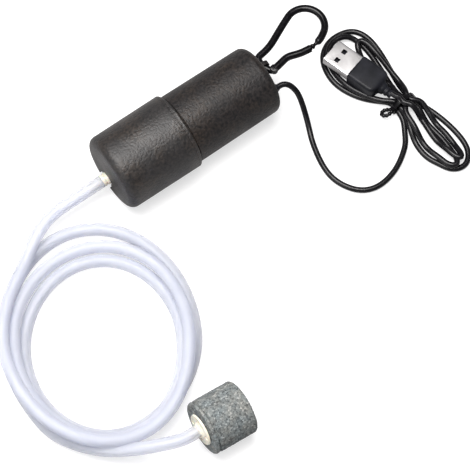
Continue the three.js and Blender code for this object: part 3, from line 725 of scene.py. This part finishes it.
def add_hose():
    coil = [(*coil_point(a), 0.0) for a in np.arange(COIL_START, COIL_STOP, COIL_STEP)]
    line = spline(FEED + coil + STONE_LEAD, 1.6)
    laid = settled(line[::-1, :2], HOSE + 0.1, held=line[::-1, 2], floor=-0.05, reach=16.0)[::-1]
    path = np.column_stack([line[:, :2], laid])
    hose = raw_object("air_hose", swept(path, HOSE / 2, sides=28, bore=HOSE_BORE / 2))
    dress(hose, "hose_clear", "casing", ["hose_feed", "hose_coil", "hose_end"])
    return hose, path


# ---------------------------------------------------------------- power cable
CABLE_FEED = [
    (82.6, -8.0, AXIS),
    (84.6, -8.02, 17.75),
    (86.5, -8.35, 17.1),
    (88.3, -9.7, 15.6),
    (89.7, -11.9, 13.0),
    (90.5, -14.6, 9.4),
    (90.2, -18.3, 5.4),
    (89.1, -22.6, 2.6),
    (87.4, -27.2, 1.5),
    (85.7, -31.4, 1.3),
    (82.9, -41.2, 1.3),
    (82.4, -51.5, 1.3),
    (85.7, -59.6, 1.3),
    (90.4, -64.2, 1.3),
    (97.2, -66.1, 1.3),
    (106.8, -64.2, 1.3),
    (114.0, -60.2, 1.3),
    (118.4, -56.4, 1.3),
    (121.4, -52.0, 1.3),
    (123.9, -47.4, 1.5),
]
TIE_X, TIE_Y = 128.7, -41.1
TIE_HALF = 5.9                      # half the tie's width across the runs
TIE_REACH = 1.4                     # how far from the tie's middle line each run is held in its place
DRAWN_IN_FROM = 8.0                 # distance from the tie at which a turn is drawn in fully
TIE_FLOOR = 2.1                     # height of the lowest runs where the tie goes under them
# Each run's place across the tie, in the order that the cable goes through it.
RUNS = [-4.0, 4.0, -2.67, 1.33, 0.0, 2.67, -1.5]
LAST_RUN_HEIGHT = 6.6
# One turn of each lobe, as offsets from the tie. The others are the same, drawn in.
FAR_LOBE = [
    (-5.2, 4.9), (-10.6, 10.5), (-15.8, 18.2), (-18.3, 26.7), (-17.4, 34.6), (-14.4, 40.1),
    (-8.7, 43.7), (-2.1, 44.2), (3.6, 42.0), (6.8, 36.6), (7.3, 28.2), (5.9, 17.8),
    (4.3, 7.3),
]
NEAR_LOBE = [
    (6.3, -4.9), (9.4, -13.7), (10.9, -23.0), (10.8, -30.6), (8.8, -35.9), (4.4, -39.0),
    (-1.1, -37.3), (-4.3, -32.3), (-6.7, -26.4), (-6.9, -19.2), (-5.2, -12.4), (-2.7, -4.9),
]
# How wide and how long each turn is, and where across the tie its middle line lies.
FAR_TURNS = [(1.0, 1.0, 0.0), (0.74, 0.955, -9.0), (0.26, 0.80, 4.2)]
NEAR_TURNS = [(1.0, 1.0, 2.0), (0.47, 0.955, -2.25), (0.30, 0.92, 4.6)]
PLUG_ROOT = (124.16, -30.5, 7.0)
PLUG_YAW, PLUG_ROLL, RELIEF_DROP = 1.85, 0.05, 0.1
RELIEF_LENGTH = 6.0


def turn_of(lobe, wide, long, axis):
    """One turn of a lobe: drawn in towards its middle line, except where it meets the tie."""
    points = []
    for x, y in lobe:
        drawn_in = min(1.0, abs(y) / DRAWN_IN_FROM)
        x += (axis - x) * (1 - wide) * drawn_in
        points.append((TIE_X + x, TIE_Y + y * long, 0.0))
    return points


def through_tie(run, direction, height=TIE_FLOOR):
    """The two points that hold one run under the tie, in the direction that the cable goes."""
    x, reach = TIE_X + RUNS[run], TIE_REACH * direction
    return [(x, TIE_Y - reach, height), (x, TIE_Y + reach, height)]


def cable_points():
    points = list(CABLE_FEED) + through_tie(0, 1)
    for turn in range(3):
        points += turn_of(FAR_LOBE, *FAR_TURNS[turn])
        points += through_tie(2 * turn + 1, -1)
        points += turn_of(NEAR_LOBE, *NEAR_TURNS[turn])
        height = LAST_RUN_HEIGHT if turn == 2 else TIE_FLOOR
        points += through_tie(2 * turn + 2, 1, height)
    return points + [(126.4, -38.2, 6.65), (125.85, -36.2, 6.6)]


def add_cable():
    line = spline(cable_points(), 0.8)
    laid = settled(line[:, :2], CABLE + 0.04, held=line[:, 2], floor=-0.02, reach=4.5)
    path = np.column_stack([line[:, :2], laid])
    path[:, 2] = np.maximum(path[:, 2], CABLE / 2)
    cable = raw_object("power_cable", swept(path, CABLE / 2, sides=20))
    dress(cable, "cable_black", "casing", ["cable_feed", "cable_hank"])
    return cable, path


def add_tie():
    """A flat strap round the bunched runs, with its ends twisted into a small loop."""
    outline = fillet([
        (-TIE_HALF, 0.75), (TIE_HALF, 0.75), (TIE_HALF, 3.3), (4.4, 5.8), (0.0, 8.5), (-2.8, 8.5),
        (-5.0, 5.8), (-TIE_HALF, 3.3),
    ], 1.3, closed=True)
    half, thick = 1.35, 0.55
    rings = []
    middle_of_runs = Vector((0.0, 3.6))
    section = rounded_rect(half, thick, 0.25, 2)
    for x, z in outline:
        out = (Vector((x, z)) - middle_of_runs).normalized()
        rings.append([(TIE_X + x + out.x * b, TIE_Y + a, z + out.y * b) for a, b in section])
    strap = raw_object("cable_tie_strap", loft(rings, closed_along=True))
    dress(strap, "hook_black", "casing", ["cable_tie"])
    edge = TIE_X - TIE_HALF
    tail_line = spline([
        (edge + 0.3, TIE_Y, 3.6), (edge - 1.9, TIE_Y - 1.0, 4.3), (edge - 4.2, TIE_Y - 0.7, 3.7),
        (edge - 5.0, TIE_Y + 1.2, 2.6), (edge - 3.1, TIE_Y + 2.5, 1.7), (edge - 1.1, TIE_Y + 1.8, 1.6),
        (edge + 0.2, TIE_Y + 0.6, 2.2),
    ], 0.3)
    twist = 1 + 0.16 * np.sin(np.arange(len(tail_line)) * 1.3)
    tail = raw_object("cable_tie_tail", swept(tail_line, 0.85 * twist, sides=14))
    dress(tail, "hook_black", "casing")
    return [strap, tail]


# ---------------------------------------------------------------- plug
def plug_frame():
    turn = Matrix.Rotation(PLUG_YAW, 4, "Z") @ Matrix.Rotation(PLUG_ROLL, 4, "X")
    return Matrix.Translation(Vector(PLUG_ROOT)) @ turn


GRIP_LENGTH = 14.5
METAL_LENGTH, METAL_HALF, METAL_THICK, METAL_WALL = 13.2, 6.0, 2.25, 0.35
METAL_LIP = 0.12                    # how far back the slanted edge of the mouth starts
WINDOW = {"back": 5.3, "side": 2.6, "half_long": 1.1, "half_wide": 1.15, "corner": 0.2}
CONTACTS = (-3.5, -1.0, 1.0, 3.5)   # across the plug; the outer two are longer


def add_plug():
    turn = plug_frame()
    # x, half width, half thickness and corner radius, from the cable to the metal
    stations = [
        (-6.0, 1.55, 1.55, 1.5), (-5.9, 1.7, 1.7, 1.65), (-4.9, 1.8, 1.8, 1.75), (-4.6, 1.6, 1.6, 1.55),
        (-4.2, 1.6, 1.6, 1.55), (-3.9, 2.0, 1.95, 1.9), (-3.0, 2.15, 2.05, 2.0), (-2.7, 1.9, 1.85, 1.8),
        (-2.3, 1.9, 1.85, 1.8), (-2.0, 2.4, 2.2, 2.15), (-1.0, 2.7, 2.35, 2.2), (-0.3, 3.0, 2.5, 2.2),
        (0.0, 3.7, 2.7, 2.0), (0.25, 4.5, 2.95, 1.9), (0.7, 5.4, 3.2, 1.8), (1.4, 6.05, 3.42, 1.7),
        (2.4, 6.38, 3.54, 1.6), (4.0, 6.5, 3.6, 1.5), (9.0, 6.5, 3.6, 1.5), (13.7, 6.45, 3.6, 1.45),
        (14.2, 6.35, 3.52, 1.4), (14.45, 6.15, 3.32, 1.3), (14.5, 5.9, 3.1, 1.2),
    ]
    rings = []
    for x, wide, thick, corner in stations:
        drop = RELIEF_DROP * x * x / RELIEF_LENGTH if x < 0 else 0.0
        lean = 2 * RELIEF_DROP * x / RELIEF_LENGTH if x < 0 else 0.0
        section = rounded_rect(wide, thick, corner, 6)
        rings.append([(x + z * lean, y, z - drop) for y, z in section])
    grip = raw_object("plug_overmould", placed(loft(rings), turn))
    dress(grip, "grip_black", "casing", ["plug_grip", "plug_relief"], smooth_below=50)

    start, end = GRIP_LENGTH - 1.0, GRIP_LENGTH + 0.3 + METAL_LENGTH
    skins = []
    mouth = end - METAL_LIP
    for inset, corner, x0, x1 in ((0.0, 0.75, start, mouth), (METAL_WALL, 0.45, mouth, start)):
        section = rounded_rect(METAL_HALF - inset, METAL_THICK - inset, corner, 5)
        skins += [[(x, y, z) for y, z in section] for x in (x0, x1)]
    lip = rounded_rect(METAL_HALF - METAL_WALL / 2, METAL_THICK - METAL_WALL / 2, 0.6, 5)
    skins.insert(2, [(end, y, z) for y, z in lip])
    metal_shell = raw_object("plug_metal", placed(loft(skins, closed_along=True), turn))
    windows = []
    spot = rounded_rect(WINDOW["half_long"], WINDOW["half_wide"], WINDOW["corner"], 3)
    for side in (-1, 1):
        for up in (-1, 1):
            x, y, z = end - WINDOW["back"], WINDOW["side"] * side, METAL_THICK * up
            hole = loft([[(x + a, y + b, z + depth) for a, b in spot] for depth in (-0.8, 0.8)])
            windows.append(placed(hole, turn))
    seam = loft([
        [(x, y, z) for y, z in ((-0.07, -3.0), (0.07, -3.0), (0.07, -1.7), (-0.07, -1.7))]
        for x in (start + 2.0, end + 1.0)
    ])
    combined(metal_shell, windows + [placed(seam, turn)], "DIFFERENCE")
    dress(metal_shell, "nickel", "casing", ["plug_shell"], smooth_below=30)

    tongue_section = fillet([(-5.4, -1.65), (5.4, -1.65), (5.4, 0.1), (-5.4, 0.1)], 0.15, 2, closed=True)
    tongue_shape = prism(tongue_section, GRIP_LENGTH + 1.0, end - 0.6)
    tongue = raw_object("plug_insulator", placed(tongue_shape, turn))
    dress(tongue, "grip_black", "casing", ["plug_tongue"])
    strips = []
    for y in CONTACTS:
        tip = end - (1.2 if y in (CONTACTS[0], CONTACTS[-1]) else 2.2)
        corners = [(y - 0.5, -1.8), (y + 0.5, -1.8), (y + 0.5, -1.57), (y - 0.5, -1.57)]
        strip = fillet(corners, 0.06, 2, closed=True)
        strips.append(placed(prism(strip, GRIP_LENGTH + 1.5, tip), turn))
    contacts = raw_object("plug_contacts", strips[0])
    combined(contacts, strips[1:], "UNION")
    dress(contacts, "brass", "casing")
    return [grip, metal_shell, tongue, contacts]


# ---------------------------------------------------------------- casing
def rolled():
    """The head's own frame: the pump's axis, turned with the outlet."""
    return Matrix.Translation((0, 0, AXIS)) @ Matrix.Rotation(HEAD_ROLL, 4, "X")


def on_axis(y=0.0):
    return Matrix.Translation((0, y, AXIS))


CAP_WALL, CAP_END_WALL, CAP_CORNER = 1.5, 2.0, 3.5
CAP_DRAFT = 0.15                    # how much smaller the cap's radius is at its front than at its bead
SLOT_HALF, SLOT_DEEP_HALF = 4.0, 3.05
SHELL_BORE, SHELL_CORNER = 14.4, 3.7
LUG = {"tip": 2.9, "hole": 2.1, "half": 0.95}


def add_front_cap():
    corner, rim, wall, end_wall = CAP_CORNER, CAP_LENGTH, CAP_WALL, CAP_END_WALL
    front = CAP_RADIUS - CAP_DRAFT
    outside = [(0.0, 0.0), (0.0, 10.0), *arc(corner, front - corner, corner, corner, 180, 90, 10)]
    draft = CAP_DRAFT / (rim - 2.3 - corner)
    outside += [(x, front + draft * (x - corner)) for x in np.arange(corner + 1.5, rim - 3, 3.0)]
    bead = [
        (rim - 2.3, CAP_RADIUS), (rim - 2.15, CAP_RADIUS - 0.22), (rim - 1.8, CAP_RADIUS - 0.22),
        (rim - 1.65, CAP_RADIUS), (rim - 0.75, CAP_RADIUS), (rim - 0.35, CAP_RADIUS - 0.25),
        (rim, CAP_RADIUS - 0.85), (rim, CAP_RADIUS - wall),
    ]
    inside = [(end_wall + 1.5, CAP_RADIUS - wall), (end_wall, CAP_RADIUS - wall - 1.5), (end_wall, 0.0)]
    shape = turned(outside + fillet(bead, 0.12, 2) + inside, 160)
    cap = raw_object("front_cap_moulding", placed(shape, rolled()))

    def slot(half, x0, x1):
        outline = arc(0, -NOZZLE_OFFSET, half, half, 0, 180, 20)
        outline += [(-half, -CAP_RADIUS - 1), (half, -CAP_RADIUS - 1)]
        return placed(prism(outline, x0, x1), rolled())

    combined(cap, [slot(SLOT_HALF, -1.0, 1.5), slot(SLOT_DEEP_HALF, 1.0, 3.1)], "DIFFERENCE")
    soften(cap, 0.18, angle=50)
    dress(cap, "casing_black", "casing", ["front_cap"], smooth_below=38, material=CAP_BLACK)


def add_rear_shell():
    spigot = CAP_RADIUS - CAP_WALL - 0.35
    bore, corner, seam = SHELL_BORE, SHELL_CORNER, CAP_LENGTH + 0.3
    profile = [
        (27.0, bore), (27.0, spigot), (31.0, spigot), (31.0, 15.0), (32.9, 15.0), (32.9, spigot),
        (seam, spigot), (seam, SHELL_FRONT - 0.25), (seam + 0.3, SHELL_FRONT),
        *arc(SHELL_END - corner, SHELL_REAR - corner, corner, corner, 90, 0, 10),
        (SHELL_END, 0.0), (SHELL_END - 2.0, 0.0), (SHELL_END - 2.0, bore - 1.2), (SHELL_END - 3.2, bore),
    ]
    shell = raw_object("rear_shell_moulding", placed(turned(profile, 160, closed=True), on_axis()))

    pivot_x, pivot_y = HOOK_PIVOT
    outline = [
        (SHELL_END - 1.0, -5.0), (SHELL_END + 0.3, -4.6), (SHELL_END + 1.2, -3.6),
        *arc(pivot_x, 0, LUG["tip"], LUG["tip"], -90, 90, 24),
        (SHELL_END + 1.2, 3.6), (SHELL_END + 0.3, 4.6), (SHELL_END - 1.0, 5.0),
    ]
    round_hole = arc(pivot_x, 0, LUG["hole"], LUG["hole"], 0, 360 - 360 / 32, 31)

    def across(points, half):
        return loft([[(x, pivot_y + y, AXIS + z) for x, z in points] for y in (half, -half)])

    outlet = turned([
        (SHELL_END - 4, 0), (SHELL_END - 4, 2.3), (SHELL_END + 1, 2.3), (SHELL_END + 1, 0),
    ], 48)
    combined(shell, [across(outline, LUG["half"])], "UNION")
    combined(shell, [across(round_hole, 3.0), placed(outlet, on_axis(CABLE_EXIT[1]))], "DIFFERENCE")
    soften(shell, 0.22, angle=50)
    dress(shell, "casing_black", "casing", ["rear_shell"], smooth_below=38)


def add_grommet():
    profile = fillet([
        (77.6, 0), (77.6, 2.9), (78.7, 2.9), (78.7, 2.0), (81.3, 2.0), (81.3, 2.8), (82.1, 2.6),
        (82.4, 1.9), (82.9, 1.9), (83.1, 1.65), (83.6, 1.6), (84.0, 1.35), (84.0, 0),
    ], 0.2, 3)
    grommet = raw_object("cable_grommet_moulding", placed(turned(profile, 48), on_axis(CABLE_EXIT[1])))
    return dress(grommet, "grip_black", "casing", ["cable_grommet"])


SCREW_CIRCLE = 11.4                 # radius on which the head's three screws stand


def add_outlet():
    """The head's cover with its barbed outlet, the ivory ring that shows in the slot."""
    plate = 13.4
    cover = turned(fillet([(3.9, 0), (3.9, plate), (7.8, plate), (7.8, 0)], 0.4), 96)
    barb = [
        (-9.0, 0), (-9.0, 1.2), (-7.6, 1.75), (-7.4, 1.4), (-5.6, 1.75), (-5.4, 1.4), (-2.6, 1.5),
        (-2.6, NOZZLE_RADIUS - 0.05), (-1.4, NOZZLE_RADIUS), (-1.2, 2.45), (-0.8, 2.45),
        (-0.6, NOZZLE_RADIUS + 0.15), (3.4, NOZZLE_RADIUS + 0.2), (4.4, NOZZLE_RADIUS + 0.2), (4.4, 0),
    ]
    at_nozzle = Matrix.Translation((0, 0, -NOZZLE_OFFSET))
    collar = placed(turned(fillet(barb, 0.12, 2), 64), at_nozzle)
    airway = placed(turned([(-10, 0), (-10, 0.75), (6.5, 0.75), (6.5, 0)], 32), at_nozzle)
    chamber = turned([(6.0, 0), (6.0, 6.2), (8.5, 6.2), (8.5, 0)], 64)
    holes = []
    for i in range(3):
        angle = math.radians(90 + 120 * i)
        place = Matrix.Translation((0, SCREW_CIRCLE * math.cos(angle), SCREW_CIRCLE * math.sin(angle)))
        holes.append(placed(turned([(3, 0), (3, 1.1), (9, 1.1), (9, 0)], 24), rolled() @ place))
    outlet = raw_object("outlet_cover", placed(cover, rolled()))
    combined(outlet, [placed(collar, rolled())], "UNION")
    combined(outlet, [placed(airway, rolled()), placed(chamber, rolled()), *holes], "DIFFERENCE")
    dress(outlet, "ivory", "casing", ["head_cover"])


# ---------------------------------------------------------------- spring hook
def hook_frame():
    place = Matrix.Translation((HOOK_PIVOT[0], HOOK_PIVOT[1], AXIS))
    return place @ Matrix.Rotation(HOOK_YAW, 4, "Z")


WIRE = 1.65                         # radius
NARROW_DEPTH, NARROW_HALF = 2.4, 4.5
WIDE_CENTRE, WIDE_RADIUS = (27.2, 0.4), 8.75
GATE_PIVOT = (NARROW_DEPTH, -NARROW_HALF)
GATE_GAP = 0.3
EYE_RADIUS, TRIM_RADIUS, KNUCKLE_RADIUS, GATE_SLOT = 1.45, 2.1, 1.68, 1.9
PIN_RADIUS, PIN_HALF = 0.44, 1.6
NOSE_START, NOSE_TIP, NOSE_SIDE = 26.4, 20.8, -8.9


def hook_line():
    flat = [
        *arc(NARROW_DEPTH, 0, NARROW_DEPTH, NARROW_HALF, -90, -270, 8),
        (5.6, 4.5), (10.3, 5.0), (17.4, 6.9),
        *arc(*WIDE_CENTRE, WIDE_RADIUS, WIDE_RADIUS, 108, -72, 10),
        (NOSE_START, NOSE_SIDE),
        (NOSE_TIP + 0.6, NOSE_SIDE),
    ]
    return spline([(x, y, 0.0) for x, y in flat], 0.35)


def disc(x, y, radius, z0, z1, sides=40):
    ring = arc(x, y, radius, radius, 0, 360 - 360 / sides, sides - 1)
    return loft([[(a, b, z) for a, b in ring] for z in (z0, z1)])


def add_hook():
    turn = hook_frame()
    line = hook_line()
    along = np.concatenate([[0], np.cumsum(np.linalg.norm(np.diff(line, axis=0), axis=1))])
    left = along[-1] - along
    # wire radius by distance from the nose's tip: a bulb, a neck and the full wire
    radius = np.interp(left, [0, 0.25, 0.6, 1.2, 1.7, 2.7, 4.2], [0.5, 1.05, 1.3, 1.22, 0.75, 0.75, WIRE])
    radius = np.where(left > 4.2, WIRE, radius)
    wire = raw_object("hook_wire", placed(swept(line, radius, sides=28), turn))
    px, py = GATE_PIVOT
    trims = [placed(disc(px, py, TRIM_RADIUS, *span), turn) for span in ((0.5, 2.0), (-2.0, -0.5))]
    combined(wire, trims, "DIFFERENCE")
    combined(wire, [placed(disc(px, py, EYE_RADIUS, -0.5, 0.5), turn)], "UNION")
    combined(wire, [placed(disc(px, py, 0.55, -2, 2, 24), turn)], "DIFFERENCE")
    soften(wire, 0.08, angle=45)
    dress(wire, "hook_black", "hook", ["hook_body"], smooth_below=45)

    end = NOSE_TIP + GATE_GAP
    gate_line = [
        (px, py, 0), (7.0, -4.5, 0), (10.4, -4.6, 0), (13.4, -5.9, 0), (16.6, -7.5, 0), (end, NOSE_SIDE, 0),
    ]
    gate_shape = swept(spline(gate_line, 0.35), WIRE + 0.05, sides=28)
    gate = raw_object("gate_wire", placed(gate_shape, turn))
    combined(gate, [placed(disc(px, py, KNUCKLE_RADIUS, -WIRE, WIRE), turn)], "UNION")

    def block(x0, x1, y0, y1, z0, z1):
        return placed(loft([[(x, y0, z0), (x, y1, z0), (x, y1, z1), (x, y0, z1)] for x in (x0, x1)]), turn)

    combined(gate, [
        block(px - GATE_SLOT, px + 2.8, py - GATE_SLOT, py + GATE_SLOT, -0.7, 0.7),
        block(end - 3.0, end + 1.0, NOSE_SIDE - 2, NOSE_SIDE + 2, -0.75, 0.75),
        placed(disc(px, py, 0.5, -2, 2, 24), turn),
    ], "DIFFERENCE")
    soften(gate, 0.08, angle=45)
    dress(gate, "hook_black", "hook_gate", ["hook_gate"], smooth_below=45)

    pin = raw_object("gate_rivet", placed(disc(px, py, PIN_RADIUS, -PIN_HALF, PIN_HALF, 32), turn))
    soften(pin, 0.08, angle=45)
    dress(pin, "hook_black", "hook", ["gate_pin"])


# ---------------------------------------------------------------- air stone
STONE = {"front": (-32.7, -115.1), "yaw": -0.05, "pitch": 0.12, "radius": 12.0, "length": 20.2}
STONE_EDGE = 1.1                    # radius of its rounded edges
STONE_STEP = 0.42                   # distance between the points of its mesh
RING_PLACE, RING_WIDTH, RING_DEPTH = 1.9, 0.42, 0.9
COLLAR_NOTCHES = (70, 160, 250, 340)


def stone_frame():
    pitch = STONE["pitch"]
    height = STONE["radius"] * math.cos(pitch) + STONE["length"] * math.sin(pitch)
    turn = Matrix.Rotation(STONE["yaw"], 4, "Z") @ Matrix.Rotation(pitch, 4, "Y")
    return Matrix.Translation((*STONE["front"], height)) @ turn


def add_stone():
    """A cylinder of sintered grains with a shallow ring behind its front edge, and its ivory collar."""
    radius, length, edge, step = STONE["radius"], STONE["length"], STONE_EDGE, STONE_STEP
    profile = [(0.0, 0.0)]
    profile += [(0.0, r) for r in np.arange(step, radius - edge, step)]
    profile += arc(edge, radius - edge, edge, edge, 180, 90, 4)
    profile += [(x, radius) for x in np.arange(edge + step, length - edge, step)]
    profile += arc(length - edge, radius - edge, edge, edge, 90, 0, 4)
    profile += [(length, r) for r in np.arange(radius - edge - step, 0.3, -step)]
    profile += [(length, 0.0)]
    vertices, faces = turned(profile, 180)
    rough = []
    for v in vertices:
        point = Vector(v)
        flat_end = min(point.x, length - point.x) < 0.05
        if flat_end:
            outward = Vector((-1.0 if point.x < length / 2 else 1.0, 0, 0))
        else:
            outward = Vector((0, point.y, point.z)).normalized()
        grains = noise.voronoi(point / 0.85)[0][0]
        pores = noise.fractal(point / 1.9, 0.8, 2.0, 3)
        height = 0.16 - 0.34 * grains + 0.20 * pores
        if not flat_end:
            off_ring = point.x - RING_PLACE - 0.3 * noise.noise(point / 2.5)
            height -= RING_DEPTH * math.exp(-((off_ring / RING_WIDTH) ** 2))
        rough.append(tuple(point + outward * min(height, 0.12)))
    stone = raw_object("air_stone_grains", placed((rough, faces), stone_frame()))
    dress(stone, "mineral", "casing", ["air_stone"], smooth_below=60)

    profile = fillet([
        (-6.4, 0.8), (-6.4, 1.35), (-5.0, 1.75), (-4.8, 1.4), (-2.7, 1.5), (-2.7, 2.75), (-1.9, 2.95),
        (-1.5, 3.1), (-1.5, 3.6), (-1.05, 4.0), (-1.05, 6.9), (-0.35, 7.15), (-0.25, 7.15), (-0.25, 2.2),
        (1.0, 2.2), (1.0, 0.8),
    ], 0.15, 2, closed=True)
    collar = raw_object("stone_collar_moulding", placed(turned(profile, 72, closed=True), stone_frame()))
    notches = []
    notch = turned([(-2, 0), (-2, 1.15), (-0.6, 1.15), (-0.6, 0)], 28)
    for angle in COLLAR_NOTCHES:
        place = Matrix.Rotation(math.radians(angle), 4, "X") @ Matrix.Translation((0, 5.2, 0))
        notches.append(placed(notch, stone_frame() @ place))
    combined(collar, notches, "DIFFERENCE")
    dress(collar, "ivory", "casing", ["stone_collar"])
    return [stone, collar]


# ---------------------------------------------------------------- pieces inside the casing
def dress_frame():
    """Every CAD node gets its slot's material."""
    for part in frame["record"]["subparts"]:
        node = frame["nodes"][part["node"]]
        node.data.materials.clear()
        node.data.materials.append(MATERIALS[part["material_slot"]])


# ---------------------------------------------------------------- the whole
add_camera()
add_studio()
dress_frame()
hose, hose_path = add_hose()
cable, cable_path = add_cable()
tie_pieces = add_tie()
plug_pieces = add_plug()
grommet = add_grommet()
stone_pieces = add_stone()
add_front_cap()
add_rear_shell()
add_outlet()
add_hook()
